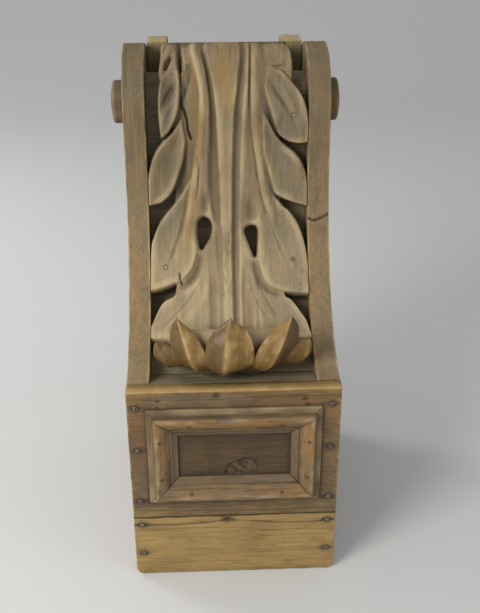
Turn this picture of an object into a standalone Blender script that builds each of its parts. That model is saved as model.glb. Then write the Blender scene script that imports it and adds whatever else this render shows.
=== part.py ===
"""Carved wooden corbel bracket: two cut side boards, a nailed front box and an acanthus leaf."""
import math

import bmesh
import bpy
from mathutils import Vector

# Whole bracket, in metres: X to the right, Y towards the wall, Z up
overall_width = 0.300
overall_depth = 0.390
fit_gap = 0.0003

# Side boards and the line that their front edge follows
side_thickness = 0.032
cove_height = 0.300
volute_radius = 0.085
volute_straight = 0.028

# Round bosses turned to sit on the outside of the two volutes
boss_radius = 0.032
boss_height = 0.019
boss_dome = 0.003
boss_edge = 0.003

# Front box: a panel board over a plain lower board
front_thickness = 0.022
lower_board_height = 0.107
panel_board_height = 0.2165
lower_corner_radius = 0.012

# Mitred moulding planted on the panel board
moulding_width = 0.043
moulding_margin = 0.0265
moulding_below = 0.0305
moulding_frame_height = 0.158
moulding_fillet_width = 0.009
moulding_fillet_height = 0.004
moulding_roll_height = 0.0155
moulding_quirk_height = 0.0065
moulding_cove_width = 0.011

# Cut nails
nail_head_width = 0.0072
nail_head_height = 0.0056
nail_head_proud = 0.0010
nail_head_sink = 0.0012
nail_shank = 0.0030
nail_length = 0.048
nail_edge_distance = 0.0125
nail_top_drop = 0.026
nail_low_rise = 0.030
nail_middle_rise = 0.009
nail_joint_drop = 0.013
nail_foot_share = 0.38

# Battens in the two back corners and rails across the back
batten_width = 0.031
batten_depth = 0.050
batten_drop = 0.002
rail_height = 0.060
rail_thickness = 0.022
rail_top_drop = 0.110
rail_bottom_rise = 0.030

# Staves behind the leaf
stave_count = 13
stave_thickness = 0.019
stave_start = 0.020
stave_joint_slant = 0.007
stave_ledge_depth = 0.0015
stave_rise_length = 0.080

# Leaf: one carved piece that follows the front line
leaf_thickness = 0.038
leaf_top_start = 0.004
leaf_top_depth = 0.017
leaf_foot_gap = 0.042
leaf_sweep_lift = 0.034
leaf_side_clearance = 0.0008
leaf_back_gap = 0.0003
lobe_thickness = 0.022
lobe_dish = 0.006
lobe_vein = 0.003
lobe_rim = 0.0015
rib_height = 0.0005
midrib_height = 0.0025
vein_depth = 0.0065
eye_depth = 0.070
leaf_top_relief = 0.35

# Curled tip of the leaf with its five petals
roll_forward = 0.049
roll_lift = 0.0455
roll_radius = 0.043
roll_core = 0.025
roll_end_inset = 0.036
roll_sweep = 0.018
petal_keel = 0.0065
petal_depth = 0.020


def clear_scene():
    for item in list(bpy.data.objects):
        bpy.data.objects.remove(item, do_unlink=True)


def wood(name, colour, roughness):
    found = bpy.data.materials.get(name) or bpy.data.materials.new(name)
    found.use_nodes = True
    shader = found.node_tree.nodes["Principled BSDF"]
    shader.inputs["Base Color"].default_value = (*colour, 1.0)
    shader.inputs["Roughness"].default_value = roughness
    shader.inputs["Metallic"].default_value = 0.0
    found.diffuse_color = (*colour, 1.0)
    return found


def iron(name):
    found = wood(name, (0.045, 0.036, 0.030), 0.65)
    found.node_tree.nodes["Principled BSDF"].inputs["Metallic"].default_value = 0.8
    return found


def finish(bm, name, material, smooth_angle=None):
    """Turn a bmesh into a named object with one material."""
    bmesh.ops.recalc_face_normals(bm, faces=bm.faces[:])
    if bm.calc_volume(signed=True) < 0.0:
        bmesh.ops.reverse_faces(bm, faces=bm.faces[:])
    mesh = bpy.data.meshes.new(name)
    bm.to_mesh(mesh)
    bm.free()
    mesh.materials.append(material)
    if smooth_angle is not None:
        mesh.shade_smooth()
        mesh.set_sharp_from_angle(angle=math.radians(smooth_angle))
    item = bpy.data.objects.new(name, mesh)
    item.location.z = -mount_height
    bpy.context.scene.collection.objects.link(item)
    return item


def block(name, low, high, material):
    """A plain board between two corners."""
    bm = bmesh.new()
    bmesh.ops.create_cube(bm, size=1.0)
    for vert in bm.verts:
        for axis in range(3):
            vert.co[axis] = low[axis] if vert.co[axis] < 0.0 else high[axis]
    return finish(bm, name, material)


def extruded(name, outline, shift, material, smooth_angle=None):
    """A flat outline of points, extruded by a vector."""
    bm = bmesh.new()
    face = bm.faces.new([bm.verts.new(point) for point in outline])
    made = bmesh.ops.extrude_face_region(bm, geom=[face])
    moved = [part for part in made["geom"] if isinstance(part, bmesh.types.BMVert)]
    bmesh.ops.translate(bm, verts=moved, vec=shift)
    return finish(bm, name, material, smooth_angle)


def grid_solid(name, front, back, material, smooth_angle=None):
    """A closed slab between two grids of points with the same rows and columns."""
    bm = bmesh.new()
    rows, columns = len(front), len(front[0])
    face_side = [[bm.verts.new(point) for point in row] for row in front]
    rear_side = [[bm.verts.new(point) for point in row] for row in back]
    for i in range(rows - 1):
        for j in range(columns - 1):
            for side in (face_side, rear_side):
                corners = (side[i][j], side[i + 1][j], side[i + 1][j + 1], side[i][j + 1])
                bm.faces.new(corners if side is face_side else corners[::-1])
    border = [(0, j) for j in range(columns)] + [(i, columns - 1) for i in range(1, rows)]
    border += [(rows - 1, j) for j in range(columns - 2, -1, -1)] + [(i, 0) for i in range(rows - 2, 0, -1)]
    for (i, j), (k, m) in zip(border, border[1:] + border[:1]):
        bm.faces.new((face_side[i][j], face_side[k][m], rear_side[k][m], rear_side[i][j]))
    return finish(bm, name, material, smooth_angle)


def hide_tool(item):
    item.hide_render = True
    item.display_type = "WIRE"


def combine(target, tool, operation, solver="EXACT"):
    """Join a shape to the target or cut it out."""
    change = target.modifiers.new(tool.name, "BOOLEAN")
    change.operation = operation
    change.solver = solver
    change.object = tool
    hide_tool(tool)


def smooth_table(stations, value):
    """Read a smooth line through a few stations of (position, size)."""
    if value <= stations[0][0]:
        return stations[0][1]
    if value >= stations[-1][0]:
        return stations[-1][1]
    for k in range(len(stations) - 1):
        (a, p), (b, q) = stations[k], stations[k + 1]
        if value <= b:
            before = stations[max(0, k - 1)]
            after = stations[min(len(stations) - 1, k + 2)]
            slope_in = (q - before[1]) / (b - before[0])
            slope_out = (after[1] - p) / (after[0] - a)
            t, span = (value - a) / (b - a), b - a
            return ((2 * t**3 - 3 * t**2 + 1) * p + (t**3 - 2 * t**2 + t) * span * slope_in
                    + (3 * t**2 - 2 * t**3) * q + (t**3 - t**2) * span * slope_out)


def curve_through(start, control, end, t):
    """A point on an arc bent by one control point."""
    return tuple((1 - t) ** 2 * a + 2 * t * (1 - t) * b + t**2 * c for a, b, c in zip(start, control, end))


def even(a, b, count):
    return [a + (b - a) * k / (count - 1) for k in range(count)]


box_height = lower_board_height + fit_gap + panel_board_height
front_line_y = -overall_depth
board_front = -overall_depth + front_thickness
volute_y = -volute_radius
cove_reach = overall_depth - 2 * volute_radius
volute_z = box_height + cove_height + volute_straight
top_z = volute_z + volute_radius
inner_x = overall_width / 2 - side_thickness

# Pieces are drawn up from the underside, then set down so that the origin is on the upper rail's wall face
rail_top = top_z - rail_top_drop
mount_height = rail_top - rail_height / 2


def front_line():
    """The side boards' front edge from the top of the volute down to the ledge, as (y, z) points."""
    points = []
    for k in range(49):
        angle = math.pi / 2 * k / 48
        forward, up = volute_radius * math.sin(angle), volute_radius * math.cos(angle)
        points.append((volute_y - forward, volute_z + up))
    for k in range(1, 161):
        angle = math.pi / 2 * (1 - k / 160)
        y = front_line_y + cove_reach * math.sin(angle)
        points.append((y, box_height + cove_height * (1 - math.cos(angle))))
    return points


line_points = front_line()
line_lengths = [0.0]
for first, second in zip(line_points, line_points[1:]):
    line_lengths.append(line_lengths[-1] + math.dist(first, second))


def on_line(s, lift=0.0):
    """A point at arc length s down the front line, lifted off it towards the viewer."""
    k = 1
    while k < len(line_lengths) - 1 and line_lengths[k] < s:
        k += 1
    (y0, z0), (y1, z1) = line_points[k - 1], line_points[k]
    t = (s - line_lengths[k - 1]) / (line_lengths[k] - line_lengths[k - 1])
    along = Vector((y1 - y0, z1 - z0)).normalized()
    return (y0 + (y1 - y0) * t + along.y * lift, z0 + (z1 - z0) * t - along.x * lift)


def ledge_length():
    """Arc length at which the front line meets the ledge behind the front board."""
    for k, (y, z) in enumerate(line_points):
        if y <= board_front:
            (y0, z0) = line_points[k - 1]
            t = (board_front - y0) / (y - y0)
            return line_lengths[k - 1] + t * (line_lengths[k] - line_lengths[k - 1])
    return line_lengths[-1]


ledge_s = ledge_length()
leaf_end = ledge_s - leaf_foot_gap
stave_rise_start = ledge_s - stave_rise_length
stave_joints = even(stave_start, ledge_s, stave_count + 1)


def stave_depth(s):
    """How far the staves' front lies behind the front line: level, then up to the ledge."""
    full = leaf_thickness + leaf_back_gap
    if s <= stave_rise_start:
        return full
    share = min(1.0, (s - stave_rise_start) / (ledge_s - stave_rise_start))
    return full + (stave_ledge_depth - full) * share**1.6


def stave_front(s):
    """The faceted front of the staves, straight between two joints."""
    if s <= stave_joints[0]:
        return on_line(s, -stave_depth(s))
    k = min(stave_count - 1, int((s - stave_joints[0]) / (stave_joints[1] - stave_joints[0])))
    a, b = stave_joints[k], stave_joints[k + 1]
    t = (s - a) / (b - a)
    (ya, za), (yb, zb) = on_line(a, -stave_depth(a)), on_line(b, -stave_depth(b))
    return (ya + (yb - ya) * t, za + (zb - za) * t)


def side_outline():
    """Outline of a side board seen from the side, as (y, z)."""
    points = [(0.0, 0.0), (0.0, volute_z)]
    for k in range(1, 13):
        angle = math.pi / 2 * k / 12
        back, up = volute_radius * math.cos(angle), volute_radius * math.sin(angle)
        points.append((volute_y + back, volute_z + up))
    for s in even(0.0, math.pi / 2 * volute_radius, 13)[1:]:
        points.append(on_line(s))
    for s in even(math.pi / 2 * volute_radius + volute_straight, ledge_s, 25):
        points.append(on_line(s))
    points.append((board_front, 0.0))
    return points


def make_side(name, inner, outer, material):
    outline = [(inner, y, z) for y, z in side_outline()]
    return extruded(name, outline, (outer - inner, 0.0, 0.0), material, 35)


def make_boss(name, side, material):
    """Turned disc with a soft edge and a slightly domed face."""
    start = overall_width / 2 + fit_gap
    profile = [(start, 0.0), (start, boss_radius), (start + boss_height - boss_edge, boss_radius)]
    for k in range(1, 4):
        angle = math.pi / 2 * k / 3
        reach = start + boss_height - boss_edge * (1 - math.sin(angle))
        profile.append((reach, boss_radius - boss_edge * (1 - math.cos(angle))))
    profile.append((start + boss_height + boss_dome * 0.7, boss_radius * 0.55))
    profile.append((start + boss_height + boss_dome, 0.0))
    bm = bmesh.new()
    verts = [bm.verts.new((side * x, volute_y, volute_z + r)) for x, r in profile]
    edges = [bm.edges.new(pair) for pair in zip(verts, verts[1:])]
    bmesh.ops.spin(bm, geom=verts + edges, cent=(0.0, volute_y, volute_z), axis=(1.0, 0.0, 0.0),
                   angle=2 * math.pi, steps=28, use_merge=True)
    bmesh.ops.remove_doubles(bm, verts=bm.verts[:], dist=0.00005)
    return finish(bm, name, material, 30)


def make_lower_board(material):
    """Plain board with its two lower corners rounded."""
    half = overall_width / 2
    r = lower_corner_radius
    outline = [(-half, front_line_y, lower_board_height), (half, front_line_y, lower_board_height)]
    for side in (1, -1):
        for k in range(5):
            angle = math.pi / 2 * (k if side > 0 else 4 - k) / 4
            x = side * (half - r + r * math.cos(angle))
            outline.append((x, front_line_y, r - r * math.sin(angle)))
    return extruded("lower_front_board", outline, (0.0, front_thickness - fit_gap, 0.0), material, 35)


def moulding_section():
    """Section of the moulding from its outer edge in: (distance in, height off the board)."""
    crest_in = moulding_fillet_width + 0.004
    cove_in = moulding_width - moulding_cove_width
    section = [(0.0, 0.0), (0.0, moulding_fillet_height), (moulding_fillet_width, moulding_fillet_height)]
    section.append((moulding_fillet_width, moulding_roll_height - 0.004))
    for k in range(1, 8):
        angle = math.pi / 2 * k / 7
        if k < 3:
            rise = moulding_roll_height - 0.004 * (1 - math.sin(angle * 2))
            section.append((crest_in - 0.004 * math.cos(angle * 2), rise))
        else:
            share = (k - 2) / 5
            fall = moulding_roll_height - moulding_quirk_height - 0.0015
            across = crest_in + (cove_in - crest_in) * share
            section.append((across, moulding_roll_height - fall * share**2.2))
    section.append((cove_in, moulding_quirk_height))
    section.append((cove_in + moulding_cove_width * 0.5, moulding_quirk_height * 0.45))
    section.append((moulding_width, 0.0018))
    section.append((moulding_width, 0.0))
    return section


def make_moulding(name, corner, along, inward, length, material):
    """One strip of the frame, mitred at both ends."""
    bm = bmesh.new()
    loops = []
    section = moulding_section()
    for end in (0, 1):
        ring = []
        for reach, height in section:
            run = reach + fit_gap / 2 if end == 0 else length - reach - fit_gap / 2
            point = Vector(corner) + Vector(along) * run + Vector(inward) * reach
            point.y -= height
            ring.append(bm.verts.new(point))
        loops.append(ring)
        bm.faces.new(ring)
    count = len(section)
    for k in range(count):
        m = (k + 1) % count
        bm.faces.new((loops[0][k], loops[0][m], loops[1][m], loops[1][k]))
    return finish(bm, name, material, 30)


def stave_joint(k):
    """Front and rear point of the slanting joint above stave k, as (y, z), and the way down it."""
    y, z = on_line(stave_joints[k], -stave_depth(stave_joints[k]))
    above, below = on_line(stave_joints[k] - 0.002), on_line(stave_joints[k] + 0.002)
    down = Vector((below[0] - above[0], below[1] - above[1])).normalized()
    front = Vector((y, z))
    rear = front + Vector((-down.y, down.x)) * stave_thickness + down * stave_joint_slant
    return front, rear, down


def make_staves(material):
    """Staves across the hollow, each a flat board from one slanting joint to the next."""
    reach = inner_x - fit_gap
    for k in range(stave_count):
        front_a, rear_a, down_a = stave_joint(k)
        front_b, rear_b, down_b = stave_joint(k + 1)
        front_a, rear_a = front_a + down_a * fit_gap / 2, rear_a + down_a * fit_gap / 2
        front_b, rear_b = front_b - down_b * fit_gap / 2, rear_b - down_b * fit_gap / 2
        if k == stave_count - 1:
            edge = board_front + fit_gap
            front_b.x = edge
            rear_b = Vector((edge, front_b.y - stave_thickness))
        outline = [(-reach, p.x, p.y) for p in (front_a, front_b, rear_b, rear_a)]
        extruded("backing_stave_%02d" % (k + 1), outline, (2 * reach, 0.0, 0.0), material)


# The carving is drawn on a leaf 234.4 mm wide and 550 mm down to the ledge, then scaled to this one
drawn_half_width = 117.2
drawn_length = 550.0
leaf_half = inner_x - leaf_side_clearance
roll_half_length = leaf_half - roll_end_inset


def across_leaf(drawn):
    return drawn / drawn_half_width * leaf_half


def down_leaf(drawn):
    return drawn / drawn_length * ledge_s


# Lines of the carving down the leaf: stations of (arc length, x), as drawn
midrib_left = ((30, -29), (60, -25), (100, -18.5), (150, -14), (300, -9.5), (440, -6))
midrib_right = ((30, 22), (60, 19.5), (100, 15), (150, 10), (300, 6.5), (440, 4))
groove_left = ((30, -33), (100, -27), (150, -27.5), (200, -31), (250, -34), (300, -22), (440, -18))
groove_right = ((30, 29), (80, 25), (150, 18.7), (250, 15.5), (300, 13), (440, 13))
rib_left = ((30, -46), (100, -41), (150, -41.7), (200, -49), (250, -57.5), (300, -71))
rib_right = ((30, 37), (100, 33), (150, 34), (200, 40), (250, 48), (300, 65))
stem_left = ((300, -34), (350, -38), (375, -46), (390, -62), (400, -76), (420, -80), (508, -62))
stem_right = ((300, 36), (350, 42), (375, 47), (390, 60), (400, 72), (420, 78), (508, 62))
edge_left = ((4, -90), (30, -110), (60, -103), (80, -97), (100, -84), (170, -76), (300, -84), (400, -92), (460, -90),
             (508, -74))
edge_right = ((4, 90), (30, 97), (80, 94), (110, 84), (170, 76), (300, 84), (400, 90), (460, 90), (508, 74))
stem_start = 305
sweep_start = 450
sweep_inner = 58
sweep_outer = 92

# Heights down the leaf: stations of (arc length, lift), as drawn
edge_lift = ((30, -1), (90, -13), (385, -13), (412, -3), (508, -3))
valley_left = ((30, -3), (90, -8), (270, -7), (310, -2), (508, -1))
valley_right = ((30, -3), (90, -8), (380, -8), (437, -3), (508, -1))

# Lobes of the leaf: outer edge, tip and lower edge as (x, arc length), as drawn, with the tip's height
lobes = {
    "left_1": dict(start=(-80, 38), bend=(-104, 90), tip=(-95.5, 168), under=(-72, 150), end=(-66, 60),
                   top=2, root=11, vein=0),
    "left_2": dict(start=(-66, 130), bend=(-120, 188), tip=(-117.2, 267), under=(-80, 258), end=(-58, 150),
                   top=1.5, root=11, vein=0),
    "left_3": dict(start=(-72, 240), bend=(-127, 284), tip=(-117.2, 396), under=(-48, 386), end=(-45, 262),
                   top=2.5, root=9, vein=0.55),
    "left_4": dict(start=(-38, 364), bend=(-104, 392), tip=(-117.2, 467), under=(-92, 480), end=(-24, 470),
                   top=0.5, root=5, vein=0.3),
    "right_1": dict(start=(76, 55), bend=(119, 108), tip=(117.2, 177), under=(78, 186), end=(56, 90),
                   top=1.5, root=11, vein=0.6),
    "right_2": dict(start=(66, 140), bend=(122, 193), tip=(117.2, 272), under=(76, 272), end=(54, 180),
                   top=1.5, root=11, vein=0),
    "right_3": dict(start=(68, 240), bend=(121, 290), tip=(117.2, 402), under=(38, 411), end=(42, 284),
                   top=2.5, root=9, vein=0.5),
    "right_4": dict(start=(40, 360), bend=(97, 392), tip=(117.2, 470), under=(92, 482), end=(24, 470),
                   top=0.5, root=5, vein=0.3),
}

# Places across a lobe where its face is drawn, from the outer edge to the lower edge
lobe_stations = (0.0, 0.07, 0.30, 0.43, 0.55, 0.80, 0.93, 1.0)

# Eyes cut through the leaf: round head, point below, as drawn
eyes = {
    "left": dict(head=(-35.5, 300), radius=(9.8, 14), point=(-41, 331)),
    "right": dict(head=(33, 309), radius=(9.8, 11), point=(38, 343)),
}

# Petals of the curled tip: foot and tip as (x, angle round the curl), half width, as drawn, and how far back
petals = {
    "far_left": dict(foot=(-66, -66), tip=(-114, 16), half=21, back=6, rise=0),
    "far_right": dict(foot=(66, -66), tip=(115, 20), half=21, back=6, rise=0),
    "left": dict(foot=(-42, -80), tip=(-77, 60), half=22, back=1, rise=11),
    "right": dict(foot=(28, -80), tip=(78, 60), half=23, back=1, rise=10),
    "centre": dict(foot=(-14, -80), tip=(-2, 66), half=34, back=-2, rise=11),
}


def leaf_sweep(x, drawn):
    """How far the face swings forward, behind the petals of the curled tip."""
    if drawn <= sweep_start:
        return 0.0
    fade = (across_leaf(sweep_outer) - abs(x)) / across_leaf(sweep_outer - sweep_inner)
    foot = leaf_end / ledge_s * drawn_length
    run = (drawn - sweep_start) / (foot - sweep_start)
    return leaf_sweep_lift * run**1.2 * min(1.0, max(0.0, fade))


def leaf_columns(s):
    """Positions across the leaf at arc length s with their heights, as (x, lift)."""
    drawn = s / ledge_s * drawn_length
    below = drawn > stem_start
    lines = (edge_left, stem_left if below else rib_left, groove_left, midrib_left,
             midrib_right, groove_right, stem_right if below else rib_right, edge_right)
    el, rl, gl, ml, mr, gr, rr, er = (across_leaf(smooth_table(line, drawn)) for line in lines)
    edge, left, right = (smooth_table(line, drawn) / 1000 for line in (edge_lift, valley_left, valley_right))
    start = min(1.0, leaf_top_relief + (1 - leaf_top_relief) * (drawn - 30) / 60)
    sink = min(1.0, max(0.0, (drawn - 262) / 40))
    sink = sink * sink * (3 - 2 * sink)
    vein = (-vein_depth * start - 0.002) * (1 - sink) + edge * sink
    outer = (rib_height - 0.002) * (1 - sink) + edge * sink
    middle = (rib_height - 0.0015) * (1 - sink) + edge * 0.7 * sink
    if below:
        vein, outer, middle = edge * 0.62, -0.003, rib_height - 0.0015
    flute = -0.0045 if below else -0.003 * (1 - sink) + edge * 0.8 * sink
    columns = [
        (el, edge), ((el + rl - 0.004) / 2, edge * (1.0 if below else 0.85)),
        (rl - 0.004, edge * (1.0 if below else 0.55 + 0.45 * sink)), (rl, vein), (rl + 0.003, outer),
        ((rl + gl) / 2, middle), (gl, rib_height - 0.0025),
        (gl * 0.55 + ml * 0.45, left), (ml, -0.001), (ml * 0.6 + mr * 0.4, midrib_height),
        (ml * 0.25 + mr * 0.75, midrib_height - 0.0005), (mr, -0.001), ((mr + gr) / 2, right),
        (gr, -0.0035), (gr * 0.65 + rr * 0.35, middle), (rr - 0.003, flute), (rr, vein),
        (rr + 0.003, edge if below else outer),
        ((rr + 0.003 + er) / 2, edge * (1.0 if below else 0.7)), (er, edge),
    ]
    return [(x, lift + leaf_sweep(x, drawn)) for x, lift in columns]


def make_leaf_body(material):
    """The leaf's stem: a plank bent to the front line with ribs and grooves down its face."""
    stops = {leaf_top_start, leaf_end}
    inside = [s for s in stave_joints if leaf_top_start < s < leaf_end]
    stops.update(inside)
    stops.update((a + b) / 2 for a, b in zip([leaf_top_start] + inside, inside + [leaf_end]))
    stops.update(down_leaf(s) for s in (stem_start - 0.5, stem_start + 0.5))
    top_y, top_edge_z = on_line(leaf_top_start)
    front, back = [], []
    for s in sorted(stops):
        y_back, z_back = on_stave_clear(s)
        if s == leaf_top_start:
            y_back, z_back = top_y + leaf_top_depth, top_edge_z
        row = leaf_columns(s)
        front.append([(x, *on_line(s, lift)) for x, lift in row])
        back.append([(x, y_back, z_back) for x, lift in row])
    return grid_solid("acanthus_leaf", front, back, material, 40)


def on_stave_clear(s):
    """A point just clear of the staves' front."""
    y, z = stave_front(s)
    (ya, za), (yb, zb) = stave_front(s - 0.002), stave_front(s + 0.002)
    along = Vector((yb - ya, zb - za)).normalized()
    return (y + along.y * leaf_back_gap, z - along.x * leaf_back_gap)


def make_lobe(name, shape, material, steps=11):
    """A dished lobe between its outer edge and its lower edge."""
    front, back = [], []
    for t in even(0.0, 1.0, steps):
        outer = curve_through(shape["start"], shape["bend"], shape["tip"], t)
        inner = curve_through(shape["end"], shape["under"], shape["tip"], t)
        row_front, row_back = [], []
        relief = math.sin(math.pi * min(1.0, 0.12 + 0.80 * t)) ** 0.8
        rise = (shape["top"] - shape["root"] * (1 - t) ** 3) / 1000
        for u in lobe_stations:
            x = across_leaf(outer[0] + (inner[0] - outer[0]) * u)
            s = down_leaf(outer[1] + (inner[1] - outer[1]) * u)
            if t == 1.0:
                x += u * 0.0016 * (1 if x < 0 else -1)
            x = max(-leaf_half, min(leaf_half, x))
            lift = rise + relief * (-lobe_dish * math.sin(math.pi * min(1.0, u * 1.15)) ** 1.2)
            lift += relief * lobe_rim * max(0.0, 1 - abs(u - 0.08) / 0.12)
            lift += relief * 0.002 * max(0.0, 1 - abs(u - 0.92) / 0.15)
            if shape["vein"]:
                lift -= relief * lobe_vein * max(0.0, 1 - abs(u - shape["vein"]) / 0.12)
            if u in (0.0, 1.0):
                lift -= 0.0015
            lift += leaf_sweep(x, outer[1] + (inner[1] - outer[1]) * u)
            y, z = on_line(s, lift)
            row_front.append((x, y, z))
            y, z = on_line(s, -lobe_thickness + 0.004 * (1 - abs(2 * u - 1)) * -1)
            row_back.append((x * 0.985, y, z))
        front.append(row_front)
        back.append(row_back)
    return grid_solid("lobe_" + name, front, back, material, 40)


def roll_centre(x):
    """Centre of the curled tip at a place across, as (y, z)."""
    share = x / roll_half_length
    return (front_line_y + roll_forward + roll_sweep * share**2, box_height + roll_lift)


def make_roll(material):
    """Core of the curled tip: a round bar with closed rounded ends."""
    bm = bmesh.new()
    rings = []
    for k in range(13):
        angle = math.pi * k / 12
        x = -roll_half_length * math.cos(angle)
        swell = max(0.12, math.sin(angle)) ** 0.4
        y, z = roll_centre(x)
        ring = []
        for m in range(16):
            turn = 2 * math.pi * m / 16
            reach = roll_core * swell
            ring.append(bm.verts.new((x, y - reach * math.cos(turn), z + reach * math.sin(turn))))
        rings.append(ring)
    for one, two in zip(rings, rings[1:]):
        for m in range(16):
            bm.faces.new((one[m], one[(m + 1) % 16], two[(m + 1) % 16], two[m]))
    bm.faces.new(rings[0])
    bm.faces.new(rings[-1])
    return finish(bm, "roll_core", material, 40)


def make_petal(name, shape, material):
    """One keeled petal wrapped round the curled tip, pointed at its upper end."""
    foot = Vector((across_leaf(shape["foot"][0]), roll_radius * math.radians(shape["foot"][1])))
    tip = Vector((across_leaf(shape["tip"][0]), roll_radius * math.radians(shape["tip"][1])))
    aside = Vector(((tip - foot).y, -(tip - foot).x)).normalized()
    front, back = [], []
    for t in even(0.0, 1.0, 11):
        half = across_leaf(shape["half"]) * max(0.004, math.sin(math.pi * (0.12 + 0.88 * t**1.3))) ** 0.58
        row_front, row_back = [], []
        for u in (-1.0, -0.5, 0.0, 0.5, 1.0):
            place = foot + (tip - foot) * t + aside * half * u
            angle = place.y / roll_radius
            y0, z0 = roll_centre(place.x)
            z0 += shape["rise"] / 1000 * t**1.6
            reach = roll_radius - shape["back"] / 1000 - petal_keel * abs(u) ** 1.3
            row_front.append((place.x, y0 - reach * math.cos(angle), z0 + reach * math.sin(angle)))
            reach -= petal_depth * (0.35 + 0.65 * (1 - abs(u))) * (1 - 0.6 * t)
            row_back.append((place.x, y0 - reach * math.cos(angle), z0 + reach * math.sin(angle)))
        front.append(row_front)
        back.append(row_back)
    return grid_solid("petal_" + name, front, back, material, 25)


def make_eye(name, shape, material):
    """Teardrop cutter through the leaf."""
    hx, hs = shape["head"]
    rx, rs = shape["radius"]
    outline = []
    for k in range(13):
        angle = math.pi * (1.0 + k / 12)
        outline.append((hx + rx * math.cos(angle), hs + rs * math.sin(angle)))
    outline.append((shape["point"][0] + rx * 0.12, shape["point"][1]))
    outline.append((shape["point"][0] - rx * 0.12, shape["point"][1]))
    bm = bmesh.new()
    rings = []
    for lift in (0.02, 0.02 - eye_depth):
        ring = []
        for x, s in outline:
            y, z = on_line(down_leaf(s), lift)
            ring.append(bm.verts.new((across_leaf(x), y, z)))
        rings.append(ring)
        bm.faces.new(ring)
    for k in range(len(outline)):
        m = (k + 1) % len(outline)
        bm.faces.new((rings[0][k], rings[0][m], rings[1][m], rings[1][k]))
    return finish(bm, "eye_" + name, material)


def make_leaf(material):
    """Every shape joined here is closed, and many run into each other, which suits the manifold solver."""
    leaf = make_leaf_body(material)
    for name, shape in lobes.items():
        combine(leaf, make_lobe(name, shape, material), "UNION", "MANIFOLD")
    combine(leaf, make_roll(material), "UNION", "MANIFOLD")
    for name, shape in petals.items():
        combine(leaf, make_petal(name, shape, material), "UNION", "MANIFOLD")
    for name, shape in eyes.items():
        combine(leaf, make_eye(name, shape, material), "DIFFERENCE", "MANIFOLD")
    return leaf


def nail_places():
    """Nail heights on the two front boards, as (board, height)."""
    top = box_height - nail_top_drop
    low = box_height - panel_board_height + nail_low_rise
    return (("upper", top), ("middle", (top + low) / 2 + nail_middle_rise), ("lower", low),
            ("joint", lower_board_height - nail_joint_drop), ("foot", lower_board_height * nail_foot_share))


def make_nails(material, boards, sides):
    """Cut nails through the front boards into the side boards' edges, with their holes."""
    for label, side in (("left", -1), ("right", 1)):
        x = side * (overall_width / 2 - nail_edge_distance)
        for place, z in nail_places():
            name = "nail_%s_%s" % (label, place)
            face = front_line_y
            for kind, grow in (("nail", 0.0), ("hole", fit_gap)):
                bm = bmesh.new()
                made = bmesh.ops.create_cube(bm, size=1.0)
                head_w, head_h = nail_head_width / 2 + grow, nail_head_height / 2 + grow
                shank = nail_shank / 2 + grow
                near = face - nail_head_proud - grow * 10
                seat = face + nail_head_sink + grow
                far = face + nail_length + grow
                for vert in made["verts"]:
                    vert.co = (x + head_w * (1 if vert.co.x > 0 else -1), near if vert.co.y < 0 else seat,
                               z + head_h * (1 if vert.co.z > 0 else -1))
                rear = [f for f in bm.faces if all(abs(v.co.y - seat) < 1e-6 for v in f.verts)]
                inset = bmesh.ops.inset_region(bm, faces=rear, thickness=0.0001)
                rear = [f for f in bm.faces if all(abs(v.co.y - seat) < 1e-6 for v in f.verts)
                        and f not in inset["faces"]]
                for vert in rear[0].verts:
                    vert.co.x = x + shank * (1 if vert.co.x > x else -1)
                    vert.co.z = z + shank * (1 if vert.co.z > z else -1)
                made = bmesh.ops.extrude_face_region(bm, geom=rear)
                ends = [g for g in made["geom"] if isinstance(g, bmesh.types.BMVert)]
                bmesh.ops.delete(bm, geom=rear, context="FACES_ONLY")
                for vert in ends:
                    vert.co.y = far
                item = finish(bm, name if kind == "nail" else "hole_%s_%s" % (label, place), material)
                if kind == "hole":
                    board = boards[0] if place in ("upper", "middle", "lower") else boards[1]
                    combine(board, item, "DIFFERENCE")
                    change = sides[label].modifiers.new(item.name, "BOOLEAN")
                    change.operation, change.solver, change.object = "DIFFERENCE", "EXACT", item


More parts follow.
